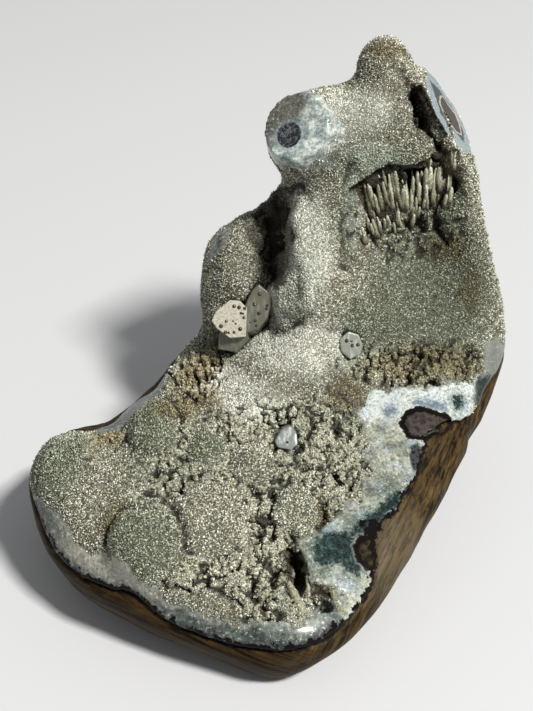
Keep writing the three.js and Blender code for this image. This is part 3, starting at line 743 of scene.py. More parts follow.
def joined_copies(name, form, at, along, size, stretch, random):
    """One mesh of many copies of a small form, each with its own place, turn, size and stretch."""
    vertices, faces = form
    count = len(at)
    side, other = frames_along(along, random)
    scaled = vertices[None] * size[:, None, None]
    scaled[:, :, 2] *= stretch[:, None]
    points = at[:, None] + np.einsum("nvk,nkj->nvj", scaled, np.stack([side, other, along], axis=1))
    corner = np.concatenate(faces)
    corners = (corner[None] + len(vertices) * np.arange(count)[:, None]).ravel()
    starts = np.cumsum([0] + [len(f) for f in faces])
    all_starts = (starts[None, :-1] + starts[-1] * np.arange(count)[:, None]).ravel()
    mesh = bpy.data.meshes.new(name)
    mesh.vertices.add(count * len(vertices))
    mesh.loops.add(len(corners))
    mesh.loops.foreach_set("vertex_index", corners.astype(np.int32))
    mesh.polygons.add(len(all_starts))
    mesh.polygons.foreach_set("loop_start", all_starts.astype(np.int32))
    put(mesh, points.reshape(-1, 3))
    mesh.update(calc_edges=True)
    return mesh


def grain_form():
    """A three-sided point that stands on its own wide foot."""
    form = bmesh.new()
    bmesh.ops.create_cone(form, cap_ends=True, segments=3, radius1=1, radius2=0, depth=1.8)
    bmesh.ops.translate(form, verts=form.verts, vec=(0, 0, 0.45))
    return template(form)


def knob_form(subdivisions):
    form = bmesh.new()
    bmesh.ops.create_icosphere(form, subdivisions=subdivisions, radius=1)
    return template(form)


def finger_form():
    """A blunt finger of length 1 along z, rooted at z = 0."""
    form = bmesh.new()
    bmesh.ops.create_cone(form, cap_ends=True, segments=7, radius1=1, radius2=1, depth=1)
    bmesh.ops.translate(form, verts=form.verts, vec=(0, 0, 0.5))
    upright = [e for e in form.edges if abs(e.verts[0].co.z - e.verts[1].co.z) > 0.5]
    bmesh.ops.subdivide_edges(form, edges=upright, cuts=6)
    for v in form.verts:
        slim = (1.15 - 0.3 * v.co.z) * math.sqrt(1 - 0.88 * v.co.z**8)
        v.co.x *= slim
        v.co.y *= slim
    return template(form)


def grow_grains(name, carrier, seed, material, count, sizes, chance=None):
    """Tiny pointed crystals all over a surface, each with a tone of its own."""
    random = np.random.default_rng(seed)
    if chance is None:
        chance = np.ones(len(carrier.vertices))
    vertex, at, out = scatter(carrier, count, chance, seed)
    along = unit(out + random.normal(scale=0.42, size=out.shape))
    size = random_radii(sizes, count, 1.8, random)
    stretch = 0.7 + 0.9 * random.random(count)
    form = grain_form()
    mesh = joined_copies(name, form, at, along, size, stretch, random)
    each = len(form[0])
    note(mesh, "tone", np.repeat(random.random(count), each))
    for kept in CARRIED_NOTES:
        note(mesh, kept, np.repeat(noted(carrier, kept)[vertex], each))
    return make_object(name, mesh, material)


def roughen_small(mesh, crust_tree, crust, amount, size):
    """Gives small lumps an uneven surface, and the crust's colouring where they stand."""
    points = places(mesh)
    lumpy = amount * (noise(to_face(points), size, 81) + 0.5 * noise(to_face(points), size / 2, 82))
    put(mesh, points + normals(mesh) * lumpy[:, None] * MM)
    nearest = [crust_tree.find_nearest(p)[2] for p in map(Vector, points)]
    vertex = np.array([crust.polygons[f].vertices[0] for f in nearest])
    for kept in CARRIED_NOTES[1:]:
        note(mesh, kept, noted(crust, kept)[vertex])
    mesh.shade_smooth()


def build_knobs(crust, crust_tree, material):
    """Small lumps on the coarse parts of the druse, away from the holes in it."""
    random = np.random.default_rng(7)
    coarse = noted(crust, "coarse") * (noted(crust, "facing") > 0.1) * (noted(crust, "polish") > 0.6)
    chance = coarse * np.clip(1.0 - 2.2 * noted(crust, "cavity"), 0.01, 1)
    vertex, at, out = scatter(crust, KNOBS["count"], chance, 8)
    up = direction_from_face((0, 1, 0.4))
    along = unit(out + random.normal(scale=0.5, size=out.shape) + 0.3 * up)
    size = random_radii(KNOBS["sizes"], len(at), 1.6, random)
    stretch = 0.9 + 1.5 * random.random(len(at)) ** 1.5
    mesh = joined_copies("coral_knobs", knob_form(1), at, along, size, stretch, random)
    heights = np.einsum("nvk,nk->nv", places(mesh).reshape(len(at), -1, 3) - at[:, None], along)
    roughen_small(mesh, crust_tree, crust, 0.06, 0.6)
    # The knobs' feet are darkened with painted shade and their tops left light.
    note(mesh, "cavity", np.clip(0.3 - 0.8 * heights.ravel() / MM, 0, 1))
    note(mesh, "tone", np.repeat(0.3 + 0.6 * random.random(len(at)), 12))
    return make_object("coral_knobs", mesh, material)


def surface_place(crust_tree, place):
    """Where the crust's surface lies at a place in u and v, seen from in front."""
    hit = crust_tree.ray_cast(Vector(from_face((*place, 60))), -Vector(direction_from_face((0, 0, 1))))[0]
    return None if hit is None else to_face(np.array(hit)[None])[0]


def column_ends(crust_tree, foot, tip, proud):
    """The foot and tip of a column that stands on the surface and clears what lies below it."""
    foot, tip = np.array(foot), np.array(tip)
    stand = surface_place(crust_tree, foot)
    if stand is None:
        return None
    w = stand[2] - 0.1
    # It clears what lies up to 4.5 mm above its foot, and is kept lower at the recess's right end.
    rise = proud
    for share in (0.3, 0.55, 0.8, 1.0):
        below = surface_place(crust_tree, foot + share * (tip - foot))
        if below is not None and below[2] - w < 4.5:
            rise = max(rise, (below[2] + 0.3 + 0.4 * proud - w) / share)
    highest = np.interp(tip[0], (38, 43), (5.5, 2.6))
    return from_face((*foot, w)), from_face((*tip, w + min(rise, highest)))


def build_columns(crust, crust_tree, material):
    """The slender columns in the recess, row below row, and the pillars across the front undercut."""
    random = np.random.default_rng(17)
    ends, radii = [], []
    edge_u, edge_v = np.array(RECESS_EDGE).T
    first, last = COLUMN_SPAN
    for row, (pitch, length, radius) in enumerate(COLUMN_ROWS):
        for u in np.arange(first + 0.5 * pitch * (row % 2), last, pitch):
            tip_u = u + 0.25 * pitch * random.normal()
            tip_v = np.interp(tip_u, edge_u, edge_v) + 0.8 - ROW_STEP * row + 0.9 * random.normal()
            tall = length * (0.65 + 0.6 * random.random())
            lean = 0.4 * np.clip((41 - u) / 15, 0, 1) + 0.07 * random.normal()
            proud = 0.3 + 1.0 * random.random()
            found = column_ends(crust_tree, (tip_u + lean * tall, tip_v - tall), (tip_u, tip_v), proud)
            if found is None or random.random() < 0.04 + 0.07 * row:
                continue
            ends.append(found)
            radii.append(radius * (0.7 + 0.6 * random.random()) * MM)
    for start, end, radius in FRONT_PILLARS:
        upper, lower = surface_place(crust_tree, start), surface_place(crust_tree, end)
        ends.append((from_face(lower - (0, 0, 0.6)), from_face(upper - (0, 0, 0.9))))
        radii.append(radius * MM)
    feet, tips = np.array(ends).swapaxes(0, 1)
    length = np.linalg.norm(tips - feet, axis=1)
    radii = np.array(radii)
    form = finger_form()
    along = (tips - feet) / length[:, None]
    mesh = joined_copies("hanging_columns", form, feet, along, radii, length / radii, random)
    roughen_small(mesh, crust_tree, crust, 0.16, 0.7)
    share = np.tile(form[0][:, 2], len(feet))
    share[-len(FRONT_PILLARS) * len(form[0]):] = 0.5
    # The columns darken towards their feet with painted shade over some brown; their tips stay cream.
    note(mesh, "cavity", np.clip(0.75 - 1.3 * share, 0, 1))
    note(mesh, "dark", np.clip(0.75 - 1.5 * share, 0, 1))
    note(mesh, "brown", 0.6 * (1 - share))
    note(mesh, "mossy_and_shaded", 0.3 + 0 * share)
    note(mesh, "tone", np.repeat(0.45 + 0.45 * random.random(len(feet)), len(form[0])))
    return make_object("hanging_columns", mesh, material)


# Crystals: the outline of each at its front in u and v, how far the front stands out, how deep the
# crystal reaches, how much wider it is there, and the slope of its front.
CREAM = {
    "outline": [
        (-13.5, 8.5), (-12.2, 6.6), (-9, 4.3), (-5.1, 4.6), (-4.8, 11.7), (-6.6, 13.5), (-9, 13.7),
        (-12.5, 10.8),
    ],
    "front": 4.5, "depth": 13, "widening": 1.06, "slope": (0.1, 0.05),
}
CLEAR = {
    "outline": [
        (-5.6, 5.4), (-5.2, 12.4), (-3.4, 16), (-1.9, 17.4), (0.4, 15.6), (1.4, 13.6), (0.2, 9.2),
        (-1.9, 6.6),
    ],
    "front": 3.2, "depth": 11, "widening": 1.22, "slope": (0.12, -0.2),
}
UNDER = {
    "outline": [(-11.6, 5.6), (-12, 1.6), (-7.4, 0.8), (-4.4, 4), (-5, 6.5)],
    "front": 1.8, "depth": 10, "widening": 1.15, "slope": (-0.1, -0.35),
}
MIDDLE = {
    "outline": [(18.6, 1.0), (18.2, 4.0), (20.4, 6.0), (23.0, 5.2), (24, 2.6), (23.4, 0.4), (21, -1.0)],
    "front": 0.5, "depth": 6, "widening": 1.1, "slope": (-0.02, -0.12),
}
LOW = {
    "outline": [
        (1.9, -20.2), (3.6, -17.4), (5.5, -16.7), (7.1, -18.3), (7.3, -20.8), (5.7, -22.2), (2.6, -21.6),
    ],
    "front": 17.4, "depth": 7, "widening": 1.1, "slope": (-0.12, 0.3),
}

# Beads on the crystals' fronts, as u and v.
CREAM_BEADS = [
    (-8.0, 12.1), (-6.8, 11.8), (-5.4, 11.6), (-6.3, 10.4), (-5.8, 10.3), (-5.6, 9.3), (-9.9, 8.4),
    (-8.2, 8.5), (-7.6, 7.8), (-11.2, 7.2), (-10.1, 5.7), (-9.3, 5.6), (-8.0, 5.7), (-6.5, 6.5),
]
CLEAR_BEADS = [
    (-1.7, 15.2), (-3.0, 12.7), (0.1, 12.4), (0.0, 11.6), (-1.9, 10.4), (-4.0, 8.3), (-2.8, 8.7), (-2.5, 7.4),
]
MIDDLE_BEADS = [(20.0, 3.7), (21.2, 3.6), (21.4, 2.5), (22.8, 2.7)]
LOW_BEADS = [(4.9, -20.4)]


def front_height(crystal, place):
    """How far the crystal's sloping front stands out at a place."""
    middle = np.array(crystal["outline"]).mean(axis=0)
    return crystal["front"] - np.dot(crystal["slope"], np.array(place) - middle)


def build_crystal(name, crystal, material, *nodes, ease=CRYSTAL_EASE):
    """A crystal with flat faces and slightly eased edges."""
    outline = np.array(crystal["outline"])
    middle = outline.mean(axis=0)
    form = bmesh.new()
    for place in outline:
        back = middle + (place - middle) * crystal["widening"]
        form.verts.new(from_face((*place, front_height(crystal, place))))
        form.verts.new(from_face((*back, crystal["front"] - crystal["depth"])))
    made = bmesh.ops.convex_hull(form, input=form.verts)
    bmesh.ops.delete(form, geom=list(set(made["geom_unused"] + made["geom_interior"])), context="VERTS")
    bmesh.ops.dissolve_limit(form, angle_limit=math.radians(2), verts=form.verts, edges=form.edges)
    bmesh.ops.bevel(
        form, geom=form.edges, offset=ease * MM, affect="EDGES", segments=2, profile=0.5, material=-1
    )
    bmesh.ops.recalc_face_normals(form, faces=form.faces)
    mesh = bpy.data.meshes.new(name)
    form.to_mesh(mesh)
    form.free()
    piece = make_object(name, mesh, material)
    if nodes:
        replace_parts(piece, *nodes)
    return piece


def build_beads(name, sets, material):
    """Small round beads sunk to their middles in the crystals' fronts."""
    random = np.random.default_rng(5)
    at = [from_face((*spot, front_height(crystal, spot) - 0.04)) for crystal, spots in sets for spot in spots]
    along = np.tile(direction_from_face((0, 0, 1)), (len(at), 1))
    size = random_radii(BEAD_SIZES, len(at), 1, random)
    mesh = joined_copies(name, knob_form(2), np.array(at), along, size, np.full(len(at), 0.7), random)
    mesh.shade_smooth()
    return make_object(name, mesh, material)


# Materials
class Finish:
    """A material under construction: short calls that add and link shader nodes."""

    def __init__(self, name):
        self.material = bpy.data.materials.new(name)
        self.material.use_nodes = True
        self.tree = self.material.node_tree
        self.shader = self.tree.nodes["Principled BSDF"]
        self.place = self.face_place()

    def put(self, socket, value):
        if isinstance(value, bpy.types.NodeSocket):
            self.tree.links.new(value, socket)
        elif isinstance(value, tuple) and len(value) == 3 and socket.type == "RGBA":
            socket.default_value = (*value, 1)
        else:
            socket.default_value = value

    def node(self, kind, inputs=(), **settings):
        made = self.tree.nodes.new("ShaderNode" + kind)
        for key, value in settings.items():
            setattr(made, key, value)
        for key, value in dict(inputs).items():
            self.put(made.inputs[key], value)
        return made

    def set(self, **sockets):
        for key, value in sockets.items():
            self.put(self.shader.inputs[key.replace("_", " ")], value)
        return self.material

    def bump(self, height, strength, distance):
        made = self.node("Bump", {"Height": height, "Strength": strength, "Distance": distance * MM})
        self.put(self.shader.inputs["Normal"], made.outputs[0])

    # Places
    def face_place(self):
        """Object coordinates turned into the face's frame, in millimetres."""
        place = self.node("TexCoord").outputs["Object"]
        shifted = self.node("VectorMath", {0: place, 1: tuple(KNEE * MM)}, operation="SUBTRACT").outputs[0]
        turned = self.node(
            "VectorRotate", {"Vector": shifted, "Axis": (1, 0, 0), "Angle": -TIP_UP},
            rotation_type="AXIS_ANGLE",
        ).outputs[0]
        return self.node("VectorMath", {0: turned, "Scale": 1 / MM}, operation="SCALE").outputs[0]

    def along(self, axis):
        """How far to the right, for axis 0, or up the face, for axis 1."""
        return self.node("SeparateXYZ", {0: self.place}).outputs[axis]

    def distance(self, point):
        return self.node("VectorMath", {0: self.place, 1: point}, operation="DISTANCE").outputs["Value"]

    def attribute(self, name):
        return self.node("Attribute", attribute_name=name).outputs["Fac"]

    # Numbers
    def math(self, operation, a, b=0.0, c=0.0):
        return self.node("Math", {0: a, 1: b, 2: c}, operation=operation).outputs[0]

    def times(self, a, b):
        return self.math("MULTIPLY", a, b)

    def step(self, value, low, high):
        """0 at low and 1 at high, whichever of them is the greater."""
        made = self.node(
            "MapRange", {"Value": value, "From Min": low, "From Max": high}, interpolation_type="SMOOTHSTEP"
        )
        return made.outputs["Result"]

    def line(self, value, middle, reach, full=0.0):
        """1 where a value is near its middle, and 0 from reach away from it."""
        return self.step(self.math("ABSOLUTE", self.math("ADD", value, -middle)), reach, full)

    def blend(self, share, a, b):
        return self.node("Mix", {0: share, 2: a, 3: b}).outputs[0]

    # Patterns, with the size of their patches in millimetres
    def noise(self, size, detail=2.0, rough=0.5, place=None):
        place = self.place if place is None else place
        inputs = {"Vector": place, "Scale": 1 / size, "Detail": detail, "Roughness": rough}
        return self.node("TexNoise", inputs).outputs["Fac"]

    def spots(self, size):
        return self.node("TexVoronoi", {"Vector": self.place, "Scale": 1 / size}).outputs["Distance"]

    def patches(self, size, detail, rough, low, high):
        """Patches that are 0 where the noise is low and 1 where it is high."""
        return self.step(self.noise(size, detail, rough), low, high)

    def wander(self, size, reach, detail=3):
        """Noise about 0, to move an edge in or out by up to about reach."""
        return self.math("MULTIPLY_ADD", self.noise(size, detail, 0.6), 4 * reach, -2 * reach)

    def ragged(self, value, size, reach):
        """A value, or the attribute of that name, that wanders by up to about reach."""
        if isinstance(value, str):
            value = self.attribute(value)
        return self.math("ADD", value, self.wander(size, reach))

    def edge(self, value, size, reach, low, high):
        """0 at low and 1 at high of a value, with a ragged edge between them."""
        return self.step(self.ragged(value, size, reach), low, high)

    # Colours
    def mix(self, share, a, b, blend="MIX"):
        made = self.node("Mix", data_type="RGBA", blend_type=blend)
        self.put(made.inputs["Factor"], share)
        self.put(made.inputs[6], a)
        self.put(made.inputs[7], b)
        return made.outputs[2]

    def lay(self, colour, tone, share, strength=None):
        """Lays a tone over a colour where share is 1, thinned by strength."""
        if strength is not None:
            share = self.times(share, strength)
        return self.mix(share, colour, tone)

    def shade(self, share, colour, factor):
        return self.mix(share, colour, factor, "MULTIPLY")

    def clouds(self, tones, *patches):
        """Two tones in patches."""
        return self.mix(self.patches(*patches), *tones)


def tint(*screen):
    """A colour given as it looks on a screen, from 0 to 255."""
    return tuple(((x / 255 + 0.055) / 1.055) ** 2.4 if x > 10 else x / 255 / 12.92 for x in screen)


# Colours, pairs of colours for patches, and shades that darken what they lie on, some of them painted shade.
SUGAR = tint(246, 247, 234)
SANDY = tint(180, 179, 157)
KHAKI = tint(112, 110, 88)
DUSK = tint(34, 30, 18)
# Brown of the pits, and painted shade in them and between the grains.
PIT_BROWN_AND_SHADE = tint(28, 22, 12)
NEAR_BLACK = tint(16, 13, 12)
# A mossy tint that in places paints shade.
MOSSY_TINT_AND_SHADE = (0.58, 0.64, 0.58)
TAN_SHADE = (0.6, 0.47, 0.28)
# Painted shade in the hollows.
PAINTED_HOLLOW_SHADE = (0.085, 0.062, 0.028)
GRAIN_SHADE = (0.42, 0.44, 0.42)
BEVEL_GREYS = tint(92, 97, 88), tint(148, 150, 134)
BEVEL_BRIGHT = tint(182, 188, 184)
BLUE_WHITE = tint(156, 168, 178)
SLATE = tint(58, 78, 96)
GREEN_HAZE = tint(84, 102, 98)
DEEP_GREENS = tint(2, 10, 10), tint(34, 53, 50)
GREEN_FLECK = tint(108, 126, 116)
DOT_GREY = tint(50, 54, 54)
CREAM_EDGE = tint(168, 163, 140)
STONE_HALO = tint(180, 178, 162)
STONE_GREYS = tint(40, 36, 33), tint(66, 61, 57)
STONE_BROWNS = tint(22, 18, 11), tint(56, 48, 33)
RIM_GREYS = tint(50, 56, 54), tint(86, 94, 88)
HAZE = tint(134, 137, 128)
RIM_PINK = tint(110, 92, 82)
RIM_MILK = tint(150, 147, 134)
RIM_BLACK = tint(22, 27, 31)
RIM_GREEN = tint(26, 34, 32)
LENS_GREY = tint(104, 106, 98)
EYE_BLUES = tint(120, 131, 129), tint(190, 196, 188)
EYE_BROWN = tint(70, 66, 58)
EYE_HALO = tint(120, 136, 140)
CHARCOAL = tint(27, 30, 32)
CORE_FLECK = tint(112, 116, 114)
CORE_GREY = tint(92, 96, 94)
SLICE_BLUES = tint(96, 110, 114), tint(140, 150, 150)
SLICE_GREENS = tint(18, 28, 30), tint(40, 54, 56)
SLICE_CREAM = tint(150, 144, 124)
SLICE_BROWN = tint(30, 20, 12)
BASALT_BROWNS = tint(9, 6, 3), tint(68, 53, 29)
BASALT_GOLD = tint(104, 85, 53)
BASALT_DUSK = tint(30, 23, 15)
# Lighter basalt towards the lower right.
BASALT_PALER_PATCH = tint(112, 102, 82)
BASALT_CRACK = tint(8, 6, 3)
BASALT_WORN = tint(30, 24, 16), tint(70, 58, 42)
# Painted shade on the basalt's left.
BASALT_LEFT_PAINTED_SHADE = (0.66, 0.62, 0.56)
CHALK = tint(124, 121, 104), tint(156, 154, 138)
RUST = tint(22, 17, 9), tint(70, 60, 38)
GLASSY = tint(122, 121, 103), tint(150, 150, 136)
GREENISH = tint(138, 142, 130), tint(176, 180, 170)
WHITISH = tint(142, 148, 142), tint(212, 217, 216)

# Places of colour: the middle of the milky rim, of the brown above the eye, and of the pale basalt.
MILKY_RIM = (-34, -46, 34)
ABOVE_EYE = (0.5, 61, 14)
PALE_BASALT = (28, -46, 25)


def druse_colour(finish, tone):
    """Sandy to khaki by tone; whiter, mossier or browner by place, with painted light in some whiter places
    and painted shade in some mossier ones; darkened in the hollows and pits with painted shade.
    """
    broad = finish.times(finish.patches(15, 3, 0.5, 0.5, 0.68), 0.5)
    patchy = finish.times(finish.patches(5, 3, 0.6, 0.6, 0.8), 0.6)
    mossy_and_shaded = finish.math("MAXIMUM", finish.attribute("mossy_and_shaded"), broad)
    tan = finish.math("MAXIMUM", finish.attribute("brown"), patchy)
    colour = finish.mix(finish.step(tone, 0.0, 0.4), DUSK, KHAKI)
    colour = finish.lay(colour, SANDY, finish.step(tone, 0.3, 0.72))
    colour = finish.lay(colour, SUGAR, finish.step(tone, 0.72, 1.0))
    # Whiter: the druse's own colour on the ridge, and painted light beside the groove and under the overhang.
    colour = finish.lay(colour, SUGAR, finish.attribute("pale_and_lit"), 0.5)
    # Mossy tint, and painted shade on the right hollow face and under the overhang.
    colour = finish.shade(mossy_and_shaded, colour, MOSSY_TINT_AND_SHADE)
    colour = finish.shade(finish.times(tan, 0.75), colour, TAN_SHADE)
    # Painted shade in the hollows, slits and recess; in the valley partly the druse's own brown.
    colour = finish.shade(finish.attribute("dark"), colour, PAINTED_HOLLOW_SHADE)
    # Painted shade in the pits, over their own brown.
    return finish.lay(colour, PIT_BROWN_AND_SHADE, finish.step(finish.attribute("cavity"), 0.3, 0.95), 0.95)


def grain_finish():
    finish = Finish("druse_grains")
    return finish.set(Base_Color=druse_colour(finish, finish.attribute("tone")), Roughness=0.28)


def knob_finish():
    finish = Finish("druse_knobs")
    speckle = finish.noise(0.4, 2, 0.7)
    tone = finish.times(finish.step(speckle, 0.1, 0.6), finish.attribute("tone"))
    finish.bump(speckle, 0.8, 0.3)
    return finish.set(Base_Color=druse_colour(finish, tone), Roughness=0.5)


def granular(finish, colour, size, depth):
    """Darkens and lightens a colour in fine grains."""
    fine = finish.noise(size, 3, 0.85)
    colour = finish.shade(finish.times(finish.step(fine, 0.52, 0.36), depth), colour, GRAIN_SHADE)
    return finish.lay(colour, SUGAR, finish.step(fine, 0.56, 0.72), 0.5 * depth)


def polished_bevel(finish, contact):
    """White and blue-grey chalcedony with dark green jasper, and basalt caught in it."""
    colour = finish.clouds(BEVEL_GREYS, 5.5, 4, 0.65, 0.36, 0.62)
    up = finish.ragged(finish.along(1), 4, 1.6)
    colour = finish.lay(colour, BEVEL_BRIGHT, finish.step(up, -19, -13), 0.8)
    colour = finish.lay(colour, BLUE_WHITE, finish.patches(6, 3, 0.5, 0.5, 0.64), 0.45)
    # Dark green jasper with flecks and a hazy edge
    grainy = finish.math("ADD", finish.wander(1.4, 0.8), finish.wander(0.5, 0.6, 1))
    green = finish.math("ADD", finish.attribute("green"), grainy)
    colour = finish.lay(colour, GREEN_HAZE, finish.step(green, 2.8, 0.2), 0.5)
    colour = granular(finish, colour, 0.8, 1.0)
    speckled = finish.noise(0.9, 3, 0.8)
    jasper = finish.mix(finish.step(speckled, 0.36, 0.62), *DEEP_GREENS)
    jasper = finish.lay(jasper, GREEN_FLECK, finish.step(speckled, 0.58, 0.72), 0.55)
    colour = finish.lay(colour, jasper, finish.step(green, 0.7, -0.7))
    # Bluer streaks, the dotted pit and the creamy line at the basalt
    blue = finish.math("ADD", finish.attribute("blue"), grainy)
    colour = finish.lay(colour, SLATE, finish.step(blue, 1.2, -0.6), 0.8)
    dots = finish.mix(finish.step(finish.spots(0.9), 0.5, 0.25), DOT_GREY, NEAR_BLACK)
    colour = finish.lay(colour, dots, finish.edge("dotted", 0.9, 0.3, 0.4, -0.2))
    colour = finish.lay(colour, CREAM_EDGE, finish.edge(contact, 1.0, 0.3, 1.5, 0.9), 0.5)
    # Basalt caught in the bevel, browner towards the front
    inclusion = finish.ragged("inclusion", 1.0, 0.45)
    halo = finish.times(finish.step(inclusion, 1.5, 1.0), finish.step(contact, 1.0, 2.2))
    colour = finish.lay(colour, STONE_HALO, halo, 0.2)
    grained = finish.patches(1.2, 4, 0.7, 0.38, 0.62)
    grey = finish.mix(grained, *STONE_GREYS)
    brown = finish.mix(grained, *STONE_BROWNS)
    stone = finish.mix(finish.step(up, -28, -34), grey, brown)
    colour = finish.lay(colour, stone, finish.step(inclusion, 0.1, -0.2))
    outline = finish.line(inclusion, 0.2, 0.85, 0.5)
    return finish.lay(colour, NEAR_BLACK, outline, finish.step(contact, 0.4, 1.2))


def polished_rim(finish, contact):
    """Grey translucent chalcedony, blue-black towards the basalt and hazed with white above."""
    colour = finish.clouds(RIM_GREYS, 5, 4, 0.6, 0.38, 0.62)
    colour = finish.lay(colour, HAZE, finish.patches(1.6, 3, 0.7, 0.55, 0.75), 0.5)
    colour = finish.lay(colour, RIM_PINK, finish.patches(7, 2, 0.5, 0.58, 0.7), 0.3)
    colour = finish.lay(colour, HAZE, finish.edge("polish", 1.5, 0.6, -2.0, 0.0), 0.6)
    left = finish.step(finish.distance(MILKY_RIM), 20, 8)
    milky = finish.times(left, finish.edge(contact, 2.5, 1.0, 1.5, 4.5))
    colour = finish.lay(colour, RIM_MILK, milky, 0.75)
    colour = granular(finish, colour, 0.9, 0.9)
    colour = finish.lay(colour, RIM_BLACK, finish.edge(contact, 2.6, 1.6, 3.8, 0.8), 0.85)
    colour = finish.lay(colour, LENS_GREY, finish.edge("lens", 1.5, 0.4, 0.5, -0.3), 0.7)
    return finish.lay(colour, RIM_GREEN, finish.edge("dark_rim", 1.8, 0.9, 0.8, -0.8), 0.8)


def ground_eye(finish):
    """The cut end of the eye stub: a flecked charcoal core, brownish above it and white below."""
    colour = finish.clouds(EYE_BLUES, 3, 4, 0.65, 0.4, 0.62)
    above = finish.edge(finish.distance(ABOVE_EYE), 2.5, 1.2, 12, 7)
    colour = finish.lay(colour, EYE_BROWN, above, 0.9)
    colour = granular(finish, colour, 0.8, 0.95)
    away = finish.ragged(finish.distance(EYE["core"]), 1.2, 0.22)
    colour = finish.lay(colour, EYE_HALO, finish.step(away, 4.6, 3.3), 0.4)
    core = finish.lay(CHARCOAL, CORE_FLECK, finish.line(finish.noise(1.3, 2), 0.5, 0.05), 0.6)
    core = finish.lay(core, CORE_GREY, finish.patches(0.8, 3, 0.8, 0.5, 0.7), 0.6)
    return finish.lay(colour, core, finish.step(away, 3.3, 3.0))


def ground_slice(finish):
    """The cut side of the top stalactite: green-black jasper about a brown hollow, and a pale rim."""
    fine = finish.noise(0.6, 2, 0.7)
    colour = finish.mix(finish.step(fine, 0.35, 0.7), *SLICE_BLUES)
    green = finish.mix(finish.step(fine, 0.4, 0.7), *SLICE_GREENS)
    colour = finish.lay(colour, green, finish.edge("slice_dark", 1.4, 0.25, 0.25, -0.15))
    hollow = finish.ragged("slice_hollow", 1.4, 0.25)
    colour = finish.lay(colour, SLICE_CREAM, finish.step(hollow, 0.5, 0.3))
    return finish.lay(colour, SLICE_BROWN, finish.step(hollow, 0.05, -0.15))


def crust_finish():
    """Druse with painted shade in the gaps between its grains, the polished places in it, and the black seam
    at the basalt.
    """
    finish = Finish("jasper_crust")
    contact = finish.attribute("contact")
    speckle = finish.noise(0.35, 2, 0.8)
    # The skin seen between the grains is darkened with painted shade, less where the druse is coarse.
    gap_shade = finish.math("MULTIPLY_ADD", finish.attribute("coarse"), -0.65, 0.75)
    druse = finish.lay(druse_colour(finish, finish.step(speckle, 0.25, 0.75)), PIT_BROWN_AND_SHADE, gap_shade)
    bevel = finish.step(finish.attribute("bevel"), 0.6, -0.3)
    polished = finish.lay(polished_rim(finish, contact), polished_bevel(finish, contact), bevel)
    eye = finish.step(finish.distance(EYE["core"]), 15, 14)
    polished = finish.lay(polished, ground_eye(finish), eye)
    cut = finish.step(finish.distance(SLICE["core"]), 17, 16.5)
    polished = finish.lay(polished, ground_slice(finish), cut)
    frosted = finish.math("ADD", finish.wander(0.5, 0.5), finish.wander(1.6, 0.3))
    polish = finish.step(finish.math("ADD", finish.attribute("polish"), frosted), 0.9, -0.1)
    colour = finish.lay(druse, polished, polish)
    # The seam runs in scallops along the front.
    front = finish.step(finish.along(1), -14, -34)
    scallops = finish.math("SUBTRACT", finish.wander(2.0, 1.3), 1.9)
    seam = finish.math("MULTIPLY_ADD", front, scallops, finish.ragged(contact, 1.6, 0.7))
    seam = finish.step(seam, 0.55, 0.2)
    colour = finish.lay(colour, NEAR_BLACK, seam)
    finish.bump(finish.times(speckle, finish.math("SUBTRACT", 1.0, polish)), 0.7, 0.35)
    dull = finish.math("MAXIMUM", finish.step(finish.attribute("inclusion"), 0.9, 0.4), seam)
    return finish.set(
        Base_Color=colour,
        Roughness=finish.math("MULTIPLY_ADD", polish, -0.36, 0.62),
        Specular_IOR_Level=finish.blend(dull, 0.32, 0.04),
    )


def streaked(finish, turn):
    """Noise drawn out lengthwise, turned about the face by an angle in degrees."""
    lengthwise = finish.node(
        "Mapping", {"Vector": finish.place, "Rotation": (0, 0, math.radians(turn)), "Scale": (22, 1, 3)},
        vector_type="TEXTURE",
    ).outputs[0]
    return finish.noise(1.0, 5, 0.75, lengthwise)


def basalt_finish():
    """Brown stone with golden streaks where it is polished, painted shade on its left, and dull and worn
    behind.
    """
    finish = Finish("basalt")
    side = finish.step(finish.along(0), 0, 16)
    streaks = finish.blend(side, streaked(finish, -20), streaked(finish, 60))
    cloudy = finish.noise(9, 4, 0.6)
    colour = finish.mix(finish.step(streaks, 0.36, 0.62), *BASALT_BROWNS)
    gold = finish.times(finish.step(streaks, 0.54, 0.66), finish.step(cloudy, 0.42, 0.6))
    colour = finish.lay(colour, BASALT_GOLD, gold, 0.55)
    colour = finish.lay(colour, BASALT_DUSK, finish.step(cloudy, 0.48, 0.7), 0.5)
    # Painted shade on the left of the basalt.
    colour = finish.shade(finish.math("SUBTRACT", 1.0, side), colour, BASALT_LEFT_PAINTED_SHADE)
    # Paler towards the lower right.
    colour = finish.lay(colour, BASALT_PALER_PATCH, finish.step(finish.distance(PALE_BASALT), 17, 6), 0.3)
    colour = finish.lay(colour, BASALT_CRACK, finish.line(streaks, 0.44, 0.02), 0.85)
    rough = finish.attribute("rough")
    colour = finish.lay(colour, finish.clouds(BASALT_WORN, 2.5, 5, 0.7, 0.35, 0.65), rough)
    colour = finish.lay(colour, NEAR_BLACK, finish.edge("contact", 1.3, 0.6, 1.0, 0.6))
    finish.bump(finish.math("MULTIPLY_ADD", finish.noise(0.8, 4, 0.7), rough, streaks), 0.25, 0.3)
    roughness = finish.math("MULTIPLY_ADD", rough, 0.35, 0.5)
    return finish.set(Base_Color=colour, Roughness=roughness, Specular_IOR_Level=0.06)


def cream_finish():
    finish = Finish("cream_crystal")
    chalk = finish.noise(0.5, 3, 0.7)
    finish.bump(chalk, 0.25, 0.15)
    colour = finish.mix(finish.step(chalk, 0.35, 0.6), *CHALK)
    return finish.set(Base_Color=colour, Roughness=0.55, Specular_IOR_Level=0.3)


